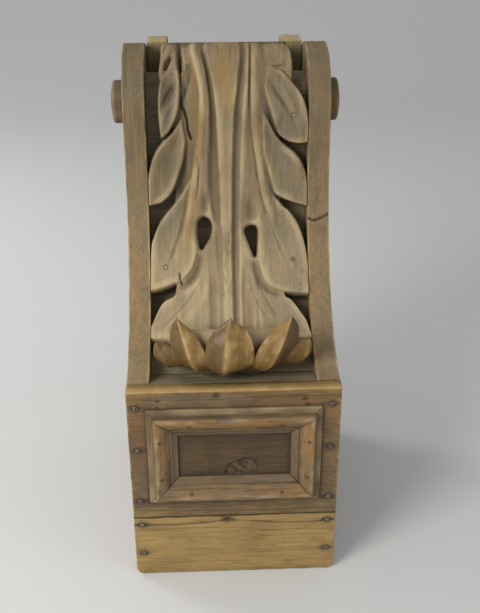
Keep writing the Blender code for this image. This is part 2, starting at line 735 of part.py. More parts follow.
def build():
    clear_scene()
    side_wood = wood("side_wood", (0.30, 0.205, 0.130), 0.72)
    leaf_wood = wood("leaf_wood", (0.34, 0.245, 0.155), 0.74)
    box_wood = wood("box_wood", (0.36, 0.215, 0.105), 0.68)
    trim_wood = wood("trim_wood", (0.33, 0.200, 0.105), 0.66)
    inner_wood = wood("inner_wood", (0.24, 0.190, 0.120), 0.80)
    nail_iron = iron("nail_iron")

    half = overall_width / 2
    sides = {"left": make_side("left_side_board", -inner_x, -half, side_wood),
             "right": make_side("right_side_board", inner_x, half, side_wood)}
    make_boss("left_boss", -1, side_wood)
    make_boss("right_boss", 1, side_wood)

    panel_low = box_height - panel_board_height
    front_back = board_front - fit_gap
    panel = block("panel_front_board", (-half, front_line_y, panel_low),
                  (half, front_back, box_height), box_wood)
    lower = make_lower_board(box_wood)

    left_x = -half + moulding_margin
    wide = overall_width - 2 * moulding_margin
    low_z = panel_low + moulding_below
    high_z = low_z + moulding_frame_height
    y = front_line_y - fit_gap
    tall = moulding_frame_height
    make_moulding("moulding_top", (left_x, y, high_z), (1, 0, 0), (0, 0, -1), wide, trim_wood)
    make_moulding("moulding_bottom", (left_x, y, low_z), (1, 0, 0), (0, 0, 1), wide, trim_wood)
    make_moulding("moulding_left", (left_x, y, low_z), (0, 0, 1), (1, 0, 0), tall, trim_wood)
    make_moulding("moulding_right", (-left_x, y, low_z), (0, 0, 1), (-1, 0, 0), tall, trim_wood)

    outer = inner_x - fit_gap
    inner = outer - batten_width
    block("left_batten", (-outer, -batten_depth, fit_gap), (-inner, 0.0, top_z - batten_drop), inner_wood)
    block("right_batten", (inner, -batten_depth, fit_gap), (outer, 0.0, top_z - batten_drop), inner_wood)
    reach = inner - fit_gap
    block("upper_back_rail", (-reach, -rail_thickness, rail_top - rail_height),
          (reach, 0.0, rail_top), inner_wood)
    block("lower_back_rail", (-reach, -rail_thickness, rail_bottom_rise),
          (reach, 0.0, rail_bottom_rise + rail_height), inner_wood)

    make_staves(inner_wood)
    make_leaf(leaf_wood)
    make_nails(nail_iron, (panel, lower), sides)


build()
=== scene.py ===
import math

import bpy
import numpy as np
from mathutils import Matrix, Vector, noise


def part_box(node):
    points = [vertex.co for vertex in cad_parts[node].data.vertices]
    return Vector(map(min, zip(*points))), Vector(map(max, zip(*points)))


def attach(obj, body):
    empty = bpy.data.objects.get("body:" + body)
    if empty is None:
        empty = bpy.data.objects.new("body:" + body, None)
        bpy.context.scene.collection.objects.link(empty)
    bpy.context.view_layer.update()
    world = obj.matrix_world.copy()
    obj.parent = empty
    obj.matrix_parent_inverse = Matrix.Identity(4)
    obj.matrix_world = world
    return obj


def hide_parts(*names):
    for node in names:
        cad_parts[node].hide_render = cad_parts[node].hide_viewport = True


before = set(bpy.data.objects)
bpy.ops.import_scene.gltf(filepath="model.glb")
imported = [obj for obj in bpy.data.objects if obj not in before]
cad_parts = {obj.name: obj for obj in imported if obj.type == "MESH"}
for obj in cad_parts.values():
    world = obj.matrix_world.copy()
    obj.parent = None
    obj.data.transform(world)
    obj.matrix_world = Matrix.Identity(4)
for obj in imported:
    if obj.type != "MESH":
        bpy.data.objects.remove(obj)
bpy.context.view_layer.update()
bpy.ops.object.select_all(action="DESELECT")
print("frame loaded:", len(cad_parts), "pieces")

mm = 0.001


# general tools

def smooth(t):
    t = np.clip(t, 0.0, 1.0)
    return t * t * (3 - 2 * t)


def clipped(value):
    return np.clip(value, 0, 1)


def fading(gap, width):
    # one on a line, falling away softly on both sides of it
    return np.exp(-(gap / width) ** 2)


def through(points, steps=8, closed=False):
    # a soft curve through a few points
    p = np.array(points, float)
    n = len(p)
    out = []
    spans = n if closed else n - 1
    for k in range(spans):
        a, b, c, d = (p[(k + j) % n] if closed else p[min(n - 1, max(0, k + j))] for j in (-1, 0, 1, 2))
        for t in np.arange(steps) / steps:
            out.append(0.5 * (2 * b + (c - a) * t + (2 * a - 5 * b + 4 * c - d) * t**2
                              + (3 * b - a - 3 * c + d) * t**3))
    if not closed:
        out.append(p[-1])
    return np.array(out)


def runAlong(points):
    # how far each point lies from the first, along their line
    return np.concatenate([[0.0], np.cumsum(np.hypot(*np.diff(points, axis=0).T))])


def sampled(profile, count):
    # a profile's own corners, with even steps between them
    line = np.array(profile)
    run = runAlong(line)
    samples = np.unique(np.concatenate([run, np.linspace(0, run[-1], count)]))
    return np.interp(samples, run, line[:, 0]), np.interp(samples, run, line[:, 1])


def rounded(gap, r):
    # how far a face drops beside an edge that is rounded by r
    over = np.clip(r - gap, 0, r)
    return r - np.sqrt(np.clip(r * r - over**2, 0, None))


def lineGap(x, y, line):
    # distance to a line of points, and how far along it, 0 to 1
    best = np.full(x.shape, 1e9)
    along = np.zeros(x.shape)
    lengths = runAlong(line)
    for k in range(len(line) - 1):
        (ax, ay), (bx, by) = line[k], line[k + 1]
        dx, dy = bx - ax, by - ay
        t = clipped(((x - ax) * dx + (y - ay) * dy) / max(1e-9, dx * dx + dy * dy))
        d = np.hypot(x - ax - t * dx, y - ay - t * dy)
        near = d < best
        best = np.where(near, d, best)
        along = np.where(near, (lengths[k] + t * (lengths[k + 1] - lengths[k])) / lengths[-1], along)
    return best, along


def edgeGap(x, y, loop):
    # signed distance to a closed outline, positive inside
    ring = np.vstack([loop, loop[:1]])
    d, _ = lineGap(x, y, ring)
    inside = np.zeros(x.shape, bool)
    for (ax, ay), (bx, by) in zip(ring[:-1], ring[1:]):
        crosses = ((ay > y) != (by > y)) & (x < (bx - ax) * (y - ay) / (by - ay + 1e-12) + ax)
        inside ^= crosses
    return np.where(inside, d, -d)


def field(x, y, scaleX, scaleY, seed):
    # soft noise over a grid, from -1 to 1
    flat = [noise.noise((a, b, seed)) for a, b in zip((x / scaleX).ravel(), (y / scaleY).ravel())]
    return np.array(flat).reshape(x.shape) * 1.6


def blurred(grid, radius):
    # soft copy of a grid of heights
    taps = np.exp(-0.5 * (np.arange(-int(3 * radius) - 1, int(3 * radius) + 2) / radius) ** 2)
    taps /= taps.sum()
    half = len(taps) // 2
    for axis in (0, 1):
        wide = np.pad(grid, [(half, half) if axis == k else (0, 0) for k in (0, 1)], mode="edge")
        grid = sum(w * np.take(wide, np.arange(k, k + grid.shape[axis]), axis) for k, w in enumerate(taps))
    return grid


def addTint(piece, name, values):
    # a number for each point, read by the materials
    layer = piece.data.attributes.new(name, "FLOAT", "POINT")
    layer.data.foreach_set("value", np.asarray(values, np.float32))


def gridPiece(name, columns, rows):
    bpy.ops.mesh.primitive_grid_add(x_subdivisions=columns - 1, y_subdivisions=rows - 1, size=1, location=(0, 0, 0))
    piece = bpy.context.object
    piece.name = piece.data.name = name
    return piece


def placePoints(piece, points):
    piece.data.vertices.foreach_set("co", points.astype(np.float32).ravel())


def closeUp(merge=0, fill=False):
    # joins the points that meet, fills what is open and turns all faces outwards
    bpy.ops.object.mode_set(mode="EDIT")
    bpy.ops.mesh.select_all(action="SELECT")
    if merge:
        bpy.ops.mesh.remove_doubles(threshold=merge)
    if fill:
        bpy.ops.mesh.fill_holes(sides=0)
        bpy.ops.mesh.select_all(action="SELECT")
    bpy.ops.mesh.normals_make_consistent(inside=False)
    bpy.ops.object.mode_set(mode="OBJECT")


def finished(piece):
    bpy.ops.object.shade_smooth()
    bpy.ops.object.select_all(action="DESELECT")
    return piece


def slab(name, xs, ys, keep, front, back, tints, thin=0.03):
    # a closed board with a carved face: a grid is cut to its outline, given thickness and set in place;
    # thin is the share of its back's faces that is kept
    nx, ny = len(xs), len(ys)
    piece = gridPiece(name, nx, ny)
    mesh = piece.data
    faces = np.zeros(len(mesh.polygons) * 4, int)
    mesh.polygons.foreach_get("vertices", faces)
    gone = ~keep.ravel()[faces.reshape(-1, 4)].all(axis=1)
    bpy.ops.object.mode_set(mode="EDIT")
    bpy.ops.mesh.select_mode(type="FACE")
    bpy.ops.object.mode_set(mode="OBJECT")
    index = mesh.attributes.new("spot", "INT", "POINT")
    index.data.foreach_set("value", np.arange(nx * ny))
    mesh.polygons.foreach_set("select", gone)
    bpy.ops.object.mode_set(mode="EDIT")
    if gone.any():
        bpy.ops.mesh.delete(type="FACE")
    bpy.ops.mesh.select_all(action="SELECT")
    bpy.ops.mesh.extrude_region_move(TRANSFORM_OT_translate={"value": (0, 0, 1)})
    bpy.ops.object.mode_set(mode="OBJECT")
    count = len(mesh.vertices)
    co = np.zeros(count * 3, np.float32)
    mesh.vertices.foreach_get("co", co)
    top = co.reshape(-1, 3)[:, 2] > 0.5
    spots = np.zeros(count, int)
    mesh.attributes["spot"].data.foreach_get("value", spots)
    places = np.where(top[:, None], front.reshape(-1, 3)[spots], back.reshape(-1, 3)[spots])
    placePoints(piece, places)
    for tint, values in tints.items():
        addTint(piece, tint, values.ravel()[spots])
    corner = np.zeros(len(mesh.polygons), int)
    mesh.polygons.foreach_get("loop_start", corner)
    loops = np.zeros(len(mesh.loops), int)
    mesh.loops.foreach_get("vertex_index", loops)
    rear = np.ones(len(mesh.polygons), bool)
    for k in range(4):
        rear &= ~top[loops[corner + k]]
    mesh.vertices.foreach_set("select", np.zeros(count, bool))
    mesh.edges.foreach_set("select", np.zeros(len(mesh.edges), bool))
    mesh.polygons.foreach_set("select", rear)
    bpy.ops.object.mode_set(mode="EDIT")
    bpy.ops.mesh.decimate(ratio=thin)
    bpy.ops.object.mode_set(mode="OBJECT")
    mesh.attributes.remove(mesh.attributes["spot"])
    return finished(piece)


# the line that the side boards' front edge and the leaf follow

bracket = {
    "halfWidth": 0.150, "sideThickness": 0.032, "depth": 0.390, "frontThickness": 0.022,
    "coveReach": 0.220, "coveHeight": 0.300, "voluteRadius": 0.085, "voluteStraight": 0.028,
    "lowerBoard": 0.107, "panelBoard": 0.2165, "gap": 0.0003,
}
underside = -0.5968
boxTop = underside + bracket["lowerBoard"] + bracket["gap"] + bracket["panelBoard"]
voluteZ = boxTop + bracket["coveHeight"] + bracket["voluteStraight"]
innerX = bracket["halfWidth"] - bracket["sideThickness"]
leafHalf = innerX - 0.0008
ledgeY = -bracket["depth"] + bracket["frontThickness"]


def frontLine():
    turn = np.linspace(0, math.pi / 2, 60)
    r = bracket["voluteRadius"]
    head = np.stack([-r - r * np.sin(turn), voluteZ + r * np.cos(turn)], 1)
    turn = np.linspace(math.pi / 2, 0, 200)
    y = -bracket["depth"] + bracket["coveReach"] * np.sin(turn)
    cove = np.stack([y, boxTop + bracket["coveHeight"] * (1 - np.cos(turn))], 1)
    line = np.vstack([head, cove])
    s = np.concatenate([[0.0], np.cumsum(np.hypot(*np.diff(line, axis=0).T))])
    even = np.linspace(0, s[-1], 900)
    return even, np.interp(even, s, line[:, 0]), np.interp(even, s, line[:, 1])


lineS, lineY, lineZ = frontLine()
slopeY, slopeZ = np.gradient(lineY, lineS), np.gradient(lineZ, lineS)


def onLine(x, s, lift):
    # from a place on the leaf in millimetres to the bracket's own metres
    s = s * mm * ledgeShare
    y, z = np.interp(s, lineS, lineY), np.interp(s, lineS, lineZ)
    dy, dz = np.interp(s, lineS, slopeY), np.interp(s, lineS, slopeZ)
    size = np.hypot(dy, dz)
    lift = lift * mm
    return np.stack([x * mm * leafHalf / (drawnHalf * mm), y + dz / size * lift, z - dy / size * lift], -1)


drawnHalf = 117.2
ledgeShare = np.interp(-ledgeY, -lineY[300:], lineS[300:]) / 0.550


# the carved leaf

leaf = {
    "cell": 1.12, "top": 4.0, "foot": 517.0, "sweepFrom": 450.0, "sweepRun": 58.0, "sweepLift": 34.0,
    "thickness": [(0, 36.1), (470, 36.1), (508, 24.9)], "lobeThickness": 20.0, "arris": 2.0, "wall": 9.0,
    "crownDrop": 1.2, "crownReach": 13.0,
    "midribLeft": [(30, -29), (60, -25), (100, -18.5), (150, -14.5), (220, -12), (300, -10), (440, -9)],
    "midribRight": [(30, 22), (60, 19.5), (100, 15), (150, 9.5), (300, 5.5), (440, 4.5)],
    "grooveLeft": [(30, -36), (100, -27), (150, -27), (200, -30), (250, -31), (290, -25), (330, -20), (440, -18)],
    "grooveRight": [(30, 30), (80, 25.5), (150, 20), (250, 16.5), (300, 15), (440, 14)],
    "ribLeft": [(30, -52), (60, -46), (100, -41), (150, -42), (200, -49.5), (250, -58), (290, -66), (340, -72)],
    "ribRight": [(30, 37), (100, 33), (150, 34.5), (200, 40.5), (250, 48.5), (290, 59), (340, 74)],
    "edgeLeft": [(4, -94), (25, -94), (42, -95), (60, -97), (80, -95), (100, -87), (170, -78), (300, -80), (360, -76),
                 (392, -80), (410, -86), (440, -88), (470, -80), (486, -56), (518, -36)],
    "edgeRight": [(4, 88), (30, 95), (80, 95), (110, 86), (170, 78), (300, 80), (360, 76), (396, 80), (412, 86),
                  (440, 88), (470, 80), (486, 56), (518, 36)],
}

lobes = {
    "left1": dict(outer=[(-70, 62), (-84, 66), (-94, 80), (-98, 110), (-98, 140), (-96, 169)],
                  inner=[(-84, 158), (-74, 138), (-69, 118), (-66, 95)],
                  top=1.5, root=5, hollow=4.5, rim=4, soften=2.0),
    "left2": dict(outer=[(-66, 140), (-79, 159), (-93, 174), (-104, 188), (-112, 205), (-117, 228), (-117.6, 267)],
                  inner=[(-100, 263), (-86, 251), (-77, 234), (-71, 218), (-65, 200), (-61, 175)],
                  top=2.0, root=7, hollow=5.0, rim=6, soften=2.0),
    "left3": dict(outer=[(-52, 222), (-66, 246), (-79, 264), (-92, 279), (-102, 292), (-111, 312), (-116, 332),
                         (-117.6, 394)],
                  inner=[(-104, 391), (-84, 384), (-68, 376), (-57, 363), (-50, 345), (-47, 325), (-46, 300),
                         (-44, 265), (-43, 228)],
                  top=2.5, root=5.0, hollow=3.6, rim=6, soften=2.0),
    "left4": dict(outer=[(-44, 372), (-52, 383), (-66, 394), (-86, 403), (-100, 411),
                         (-110, 429), (-117.6, 449), (-117.6, 467)],
                  inner=[(-94, 469), (-60, 482), (-46, 490), (-42, 430)],
                  top=-0.6, root=-0.6, hollow=0.4, rim=4, soften=0),
    "right1": dict(outer=[(60, 58), (78, 66), (92, 84), (105, 103), (114, 124), (117.6, 150), (117.6, 177)],
                   inner=[(104, 178), (90, 175), (79, 168), (72, 158), (62, 128), (54, 95)],
                   top=2.0, root=6, hollow=2.6, rim=5, soften=3.0),
    "right2": dict(outer=[(52, 130), (72, 167), (85, 181), (97, 191), (108, 204), (115, 221), (117.6, 242),
                          (117.6, 271)],
                   inner=[(104, 267), (90, 262), (79, 257), (69, 249), (62, 225), (52, 190)],
                   top=2.0, root=3, hollow=2.8, rim=5, soften=3.5),
    "right3": dict(outer=[(48, 222), (60, 240), (70, 255), (82, 270), (92, 279), (104, 297), (112, 320), (117, 350),
                          (117.6, 402)],
                   inner=[(100, 401), (76, 397), (60, 389), (50, 375), (45, 355), (43, 330), (43, 305),
                          (44, 270), (44, 230)],
                   top=2.5, root=5.0, hollow=2.8, rim=6, soften=2.0),
    "right4": dict(outer=[(44, 378), (50, 389), (58, 397), (76, 404), (90, 409), (103, 427), (112, 443),
                          (117.6, 464), (117.6, 471)],
                   inner=[(94, 472), (60, 482), (46, 490), (42, 430)],
                   top=-0.6, root=-0.6, hollow=0.4, rim=4, soften=0),
}

# carved lines and drying cracks: points, width and depth in millimetres, and whether they run out at both ends
cuts = {
    "veinLeft3": ([(-60, 262), (-66, 288), (-73, 310), (-82, 334), (-91, 356)], 2.4, 2.6, True),
    "veinRight3": ([(57, 278), (63, 297), (72, 320), (83, 348)], 2.0, 2.2, True),
    "veinLeft4": ([(-45, 383), (-58, 404), (-72, 421), (-102, 453)], 2.0, 1.8, True),
    "veinRight4": ([(42, 384), (50, 401), (69, 438)], 2.0, 1.8, True),
    "lineRight4": ([(31, 378), (36, 400), (45, 421), (56, 441)], 2.2, 1.8, True),
    "veinRight1": ([(60, 78), (70, 100), (82, 120), (92, 139), (101, 154)], 2.6, 2.6, True),
    "lineRight": ([(37, 7), (35.5, 34), (33, 90), (33, 120), (36, 165), (41, 202), (48, 248), (57, 280)],
                  1.4, 3.2, False),
    "slitTop": ([(-68, 2), (-67.5, 30), (-66, 60)], 3.6, 11.0, False),
    "topGroove": ([(-72, 12), (-80, 40), (-92, 74)], 3.2, 3.6, True),
    "topGroove2": ([(-84, 8), (-90, 26), (-93, 40)], 2.6, 2.6, True),
    "crackLeft": ([(-65.5, 30), (-66, 70), (-66.5, 118), (-62, 130), (-57.5, 147), (-57, 158), (-52.5, 172)], 1.5,
                  7.0, False),
    "crackRib1": ([(-47, 176), (-44.5, 196), (-46, 214)], 0.9, 3.0, True),
    "crackRib2": ([(-43.5, 182), (-42, 205), (-44, 236), (-47, 262)], 0.9, 3.0, True),
    "crackMidrib": ([(-13.5, 214), (-11.8, 232), (-12.6, 256), (-10, 292)], 1.2, 2.0, True),
    "crackMidribLow": ([(-9.6, 292), (-10.2, 340), (-10.0, 405)], 0.9, 1.4, True),
    "crackBlock1": ([(66, 60), (76, 56), (84, 54), (88, 50)], 1.4, 3.5, True),
    "crackBlock2": ([(63, 63), (74, 64), (86, 67)], 1.1, 2.5, True),
    "crackNick": ([(-74, 368), (-73.5, 376), (-71, 384)], 1.4, 5.0, False),
    "dishLine": ([(-70, 78), (-80, 98), (-91, 119), (-95, 135)], 3.6, 5.0, True),
    "hairTop1": ([(-11, 8), (-9, 55), (-10, 76)], 0.8, 1.0, True),
    "hairTop2": ([(9, 8), (6, 60)], 0.8, 1.0, True),
}

# small nails and stains: place, size, and pale or dark
leafNails = [((96, 136), 1.8, 1), ((95, 350), 1.6, -1), ((-95, 358), 1.8, 1)]

# darker places, painted shade in the dishes of the two upper left lobes: centre, reach across and down, and strength
shadedPlaces = [((-90, 214), (24, 42), 0.42), ((-84, 104), (14, 44), 0.25)]

# lines along which the wood shows golden: points, width and strength
goldLines = [
    ([(-48, 60), (-44, 120), (-45, 180), (-50, 230), (-56, 280), (-60, 320)], 9, 1.0),
    ([(-26, 372), (-35, 396), (-50, 422)], 6, 0.6),
    ([(-2, 6), (-2, 110)], 20, 0.9),
    ([(40, 40), (44, 120), (52, 190)], 8, 0.5),
]

# outlines of the torn wood beside the long crack, the wedge split out at the top and the first lobe's dish, which is
# given painted shade
tornWoodAndDishShade = {"torn": [(-62, 44), (-50, 50), (-50, 75), (-55, 95), (-63, 118)],
            "wedge": [(-80, 30), (-77, 37), (-86, 60), (-92, 61), (-89, 44)],
            "dish": [(-97, 76), (-74, 92), (-70, 108), (-82, 130), (-97, 146)]}
# the midrib's left arris, which gets a painted highlight where it faces the light
highlitArris = [(-15, 150), (-12.5, 215), (-11, 295)]

# raised lines: points, width and height
ridges = {
    "lobe1": ([(-68, 98), (-76, 112), (-90, 134), (-96, 160)], 4.5, 3.2),
    "lobe1Right": ([(62, 62), (74, 84), (88, 112), (102, 146), (108, 168)], 5.0, 1.6),
    "channel3": ([(-40, 338), (-44, 354), (-52, 372), (-66, 386), (-86, 397)], 5.0, -5.5),
    "channel3Right": ([(37, 348), (40, 366), (46, 385), (60, 398), (80, 405)], 5.0, -5.5),
    "funnelLeft": ([(-32, 246), (-35, 268), (-37, 292)], 6.5, -4.5),
    "funnelRight": ([(31, 258), (34, 280), (35, 302)], 6.5, -4.5),
    "rib4": ([(-26, 350), (-34, 392), (-50, 424), (-72, 448)], 6.0, 1.2),
    "rib4Right": ([(24, 352), (32, 396), (46, 424), (66, 450)], 6.0, 1.0),
}

holes = {
    "leftEye": [(-36, 286), (-28, 291), (-25.5, 301), (-29, 314), (-36, 325), (-41, 331), (-44.5, 322),
                (-46, 304), (-43.5, 291)],
    "rightEye": [(26, 302), (33, 299.5), (41, 301), (43, 310), (42, 328), (39.5, 343), (35, 336), (29, 320),
                 (24.5, 308)],
}


def across(name, s):
    # how far from the middle a named line of the stem lies, all the way down
    line = through(leaf[name], 6)
    return np.interp(s, line[:, 0], line[:, 1])


def stemHeight(x, s):
    # the stem's cross-section, read at named lines from left to right
    el, rl, gl, ml = (across(n, s) for n in ("edgeLeft", "ribLeft", "grooveLeft", "midribLeft"))
    mr, gr, rr, er = (across(n, s) for n in ("midribRight", "grooveRight", "ribRight", "edgeRight"))
    low = smooth((s - 285) / 45)
    foot = smooth((s - 330) / 60)
    start = 0.3 + 0.7 * smooth((s - 2) / 70)
    ribs = 1 - smooth((s - 250) / 70)
    leftDeep = -7.5 * start * (1 - 0.82 * low) - 0.6
    rightDeep = -4.2 * start - 1.2
    edge = -1.0 - 11.0 * smooth((s - 10) / 70)
    bands = [
        (el, edge), ((el + rl) / 2, edge * 0.95), (rl - 7, -3.0 - 7.0 * start * ribs), (rl - 1.5, -7.5 * start - 1),
        (rl + 1.5, 0.4 * ribs - 1.5 * (1 - ribs)), (rl + 7, 1.6 * ribs - 1.5 * (1 - ribs)),
        (rl * 0.35 + gl * 0.65, -0.3 - 1.2 * (1 - ribs)), (gl, -2.2 * (1 - low)), (gl * 0.62 + ml * 0.38, leftDeep),
        (ml - 2.0, leftDeep * 0.72), (ml, 1.8 - 0.9 * low), (ml * 0.6 + mr * 0.4, 2.4 - 0.5 * low),
        (mr - 1.2, 2.0 - 0.6 * low), (mr + 1.4, rightDeep * 0.85), ((mr + gr) / 2, rightDeep),
        (gr - 1.8, rightDeep * 0.9), (gr + 0.6, -1.2 * start), (gr + 3.5, 0.6), (gr + 7.5, -0.6),
        ((gr + 7.5) * 0.45 + rr * 0.55, -2.8 - 1.6 * low), (rr - 1.2, -2.6 - 1.0 * low),
        (rr + 1.2, 1.0 * ribs - 1.4 * (1 - ribs)), (rr + 8, 0.6 * ribs - 1.5 * (1 - ribs)),
        (rr + 17, -2.5 - 1.5 * start), ((rr + er) / 2 + 8, edge * 0.85), (er, edge),
    ]
    height = np.zeros(x.shape)
    for row in range(x.shape[0]):
        px = np.array([b[0][row, 0] for b in bands])
        ph = np.array([np.broadcast_to(b[1], s.shape)[row, 0] for b in bands])
        px = np.maximum.accumulate(px + np.arange(len(px)) * 1e-4)
        height[row] = np.interp(x[row], px, ph)
    # below the eyes the stem spreads into the two lowest lobes
    flankLeft = -0.5 - 3.2 * smooth((x + 10) / -18) * (1 - smooth((x + 26) / -8)) * foot
    flankRight = -0.8 - 2.8 * smooth((x - 13) / 9) * (1 - smooth((x - 30) / 7)) * foot
    spread = np.where(x < 0, flankLeft, flankRight)
    side = smooth((np.abs(x) - 14) / 6)
    return height * (1 - side * foot) + spread * side * foot


def withLobe(lobe, x, s, height, rims, dishes):
    # a dished lobe with rounded arrises, melted into the stem at its root
    outer, inner = through(lobe["outer"]), through(lobe["inner"])
    loop = np.vstack([outer, inner])
    wall = edgeGap(x, s, loop)
    root, tip = outer[0], outer[-1]
    along = smooth(((x - root[0]) * (tip[0] - root[0]) + (s - root[1]) * (tip[1] - root[1]))
                   / np.sum((tip - root) ** 2) * 1.3)
    level = lobe["top"] * along - lobe["root"] * (1 - along)
    inward = np.clip(wall - lobe["rim"] * 0.35, 0, None)
    dish = lobe["hollow"] * (1 - np.exp(-(inward / (lobe["rim"] * 1.5)) ** 1.6))
    dish *= smooth((1.25 - along) / 0.6) * 0.75 + 0.25
    drop = rounded(wall, leaf["arris"]) + np.clip(-wall, 0, None) * leaf["wall"]
    shape = level - dish - drop
    shown = (shape > height) * (wall > 0)
    rims = np.maximum(rims * (1 - shown), shown * fading(wall - 1.4, 1.7))
    dishes = np.maximum(dishes * (1 - shown), shown * smooth(wall / 9))
    k = 0.8 + lobe["soften"] * (1 - along) ** 1.5
    meet = np.clip(k - np.abs(height - shape), 0, None) ** 2 / (4 * k)
    height = np.maximum(height, shape) + meet * (wall > -3)
    return height, rims, dishes


def leafFace():
    cell = leaf["cell"]
    xs = np.arange(-drawnHalf, drawnHalf + 0.01, 2 * drawnHalf / round(2 * drawnHalf / cell))
    ss = np.linspace(leaf["top"], leaf["foot"], int((leaf["foot"] - leaf["top"]) / cell) + 1)
    x, s = np.meshgrid(xs, ss)
    stem = stemHeight(x, s)
    edge = np.minimum(x - across("edgeLeft", s), across("edgeRight", s) - x)
    height = stem - np.where(edge < 0, -edge * leaf["wall"], 0)
    rims, dishes = np.zeros(x.shape), np.zeros(x.shape)
    for lobe in lobes.values():
        height, rims, dishes = withLobe(lobe, x, s, height, rims, dishes)
    for points, width, rise in ridges.values():
        gap, along = lineGap(x, s, through(points, 6))
        height += rise * np.sin(np.pi * np.clip(along, 0.02, 0.98)) ** 0.6 * fading(gap, width)
    # the face swings forward behind the curled tip
    run = np.clip((s - leaf["sweepFrom"]) / leaf["sweepRun"], 0, None)
    height += leaf["sweepLift"] * run**1.2 * clipped((92 - np.abs(x)) / 34)
    # eyes: a soft hollow above each, then the hole
    for loop in holes.values():
        wall = edgeGap(x, s, through(loop, closed=True))
        height -= 5.5 * fading(np.clip(-wall, 0, None), 3.2) * (wall < 9)
        height -= np.clip(wall + 0.6, 0, None) * 26
    height -= 1.6 * fading(s - leaf["top"] + 0.1, 1.4)
    # worn knife work: long shallow facets and rubbed arrises
    height += 0.45 * field(x, s, 9, 60, 3.1) + 0.28 * field(x, s, 5, 17, 8.4)
    height = blurred(height, 0.75)
    for points, width, depth, fades in cuts.values():
        gap, along = lineGap(x, s, through(points, 6))
        fade = np.sin(np.pi * np.clip(along, 0.02, 0.98)) ** 0.5 if fades else smooth(along * 12) * 0.4 + 0.6
        wobble = 0.85 + 0.25 * field(x, s, 40, 30, 5.0)
        height -= depth * fade * wobble * fading(gap, width)
    torn = edgeGap(x, s, np.array(tornWoodAndDishShade["torn"]))
    height -= smooth(torn / 1.5) * (2.2 + 1.2 * field(x, s, 3, 22, 2.2))
    wedge = edgeGap(x, s, np.array(tornWoodAndDishShade["wedge"]))
    height -= smooth(wedge / 2.0) * 7
    return xs, ss, x, s, height, edge, rims, dishes


def leafTones(x, s, height, rims, dishes):
    # dirt and painted shade in what lies deep, pale wear on what stands out, painted light and highlights on some
    # faces, and the patches that time has left
    shade = blurred(height, 5) - height
    broad = blurred(np.maximum(height, -18), 14) - height
    patchy = clipped(0.45 + 0.9 * field(x, s, 26, 44, 6.6))
    # painted shade: the deeper a place lies below its surroundings, the darker it is, with dirt there too
    dark = clipped(shade / 3.0) * 0.45 + clipped(broad / 8) * 0.60
    # painted shade in the dishes of the upper left lobes
    for centre, size, strength in shadedPlaces:
        dark += strength * fading(np.hypot((x - centre[0]) / size[0], (s - centre[1]) / size[1]), 1)
    wearAndHighlight = clipped(-shade / 1.5) * patchy * 0.9
    # pale rims round the lobes: worn arrises with a painted highlight
    wearAndHighlight += 0.55 * rims * clipped(0.55 + 0.8 * field(x, s, 12, 20, 9.4))
    # painted shade in the lobes' dishes, and less of it in the channel right of the midrib
    dark += 0.16 * dishes * smooth((300 - s) / 60)
    channel = smooth((x - across("midribRight", s)) / 2) * smooth((across("grooveRight", s) - x) / 2)
    dark *= 1 - 0.45 * channel
    # painted shade in the first lobe's dish
    dark += 0.35 * smooth(edgeGap(x, s, np.array(tornWoodAndDishShade["dish"])) / 6)
    # painted light: paler towards the foot and the left, where the light falls most
    wearAndHighlight += 0.52 * smooth((s - 290) / 110) * (0.62 + 0.38 * smooth((50 - x) / 100)) * (0.65 + 0.45 * patchy)
    wearAndHighlight += 1.1 * smooth((s - 290) / 30) * (np.abs(x + 2.5) < 7) * clipped(field(x, s, 4, 16, 8.8))
    for place, size, tone in leafNails:
        gap = np.hypot(x - place[0], s - place[1])
        dark += 0.8 * fading(gap - size * 1.7, 1.2) + (0.9 * fading(gap, size) if tone < 0 else 0)
        wearAndHighlight += 1.2 * fading(gap, size) if tone > 0 else 0
    # painted highlight along the midrib's lit left arris
    arris, _ = lineGap(x, s, through(highlitArris))
    wearAndHighlight += 0.8 * fading(arris, 1.3) * clipped(0.4 + field(x, s, 6, 14, 2.7))
    return {
        "run": s * mm,
        "hollow": clipped(dark),
        "wearAndHighlight": clipped(wearAndHighlight),
        "gold": goldOnLeaf(x, s),
        "patina": clipped(0.25 + 0.9 * field(x, s, 34, 60, 4.4) + 0.25 * smooth((x - 20) / 60) + 0.5 * dishes
                          + 0.5 * channel),
    }


def makeLeafBody():
    xs, ss, x, s, height, edge, rims, dishes = leafFace()
    depth = np.interp(s, *zip(*leaf["thickness"]))
    back = np.where(edge > -1, -depth, -leaf["lobeThickness"])
    back = blurred(back, 1.2)
    keep = height > back + 1.0
    height = np.maximum(height, back + 1.0)
    tints = leafTones(x, s, height, rims, dishes)
    # a grid's rows run upwards, so the leaf is laid out from its foot; its back runs into the crown
    flip = slice(None, None, -1)
    front = onLine(x, s, height)[flip]
    rear = onLine(x, s, back)
    crown = np.stack([rear[..., 0], np.full(x.shape, leaf["crownReach"] * mm - bracket["voluteRadius"]),
                      np.full(x.shape, voluteZ + bracket["voluteRadius"] - leaf["crownDrop"] * mm)], -1)
    near = smooth((s - leaf["top"]) / 16)[..., None]
    rear = (crown * (1 - near) + rear * near)[flip]
    tints = {k: v[flip] for k, v in tints.items()}
    return slab("leafBody", xs, ss, keep[flip], front, rear, tints)


def goldOnLeaf(x, s):
    # bare golden wood along the ribs and the worn crown
    gold = 0.7 * smooth((16 - s) / 10) + 0.3 * field(x, s, 30, 60, 1.7)
    for points, width, strength in goldLines:
        gap, _ = lineGap(x, s, through(points))
        gold += strength * fading(gap, width)
    return clipped(gold)


# the curled tip with its petals

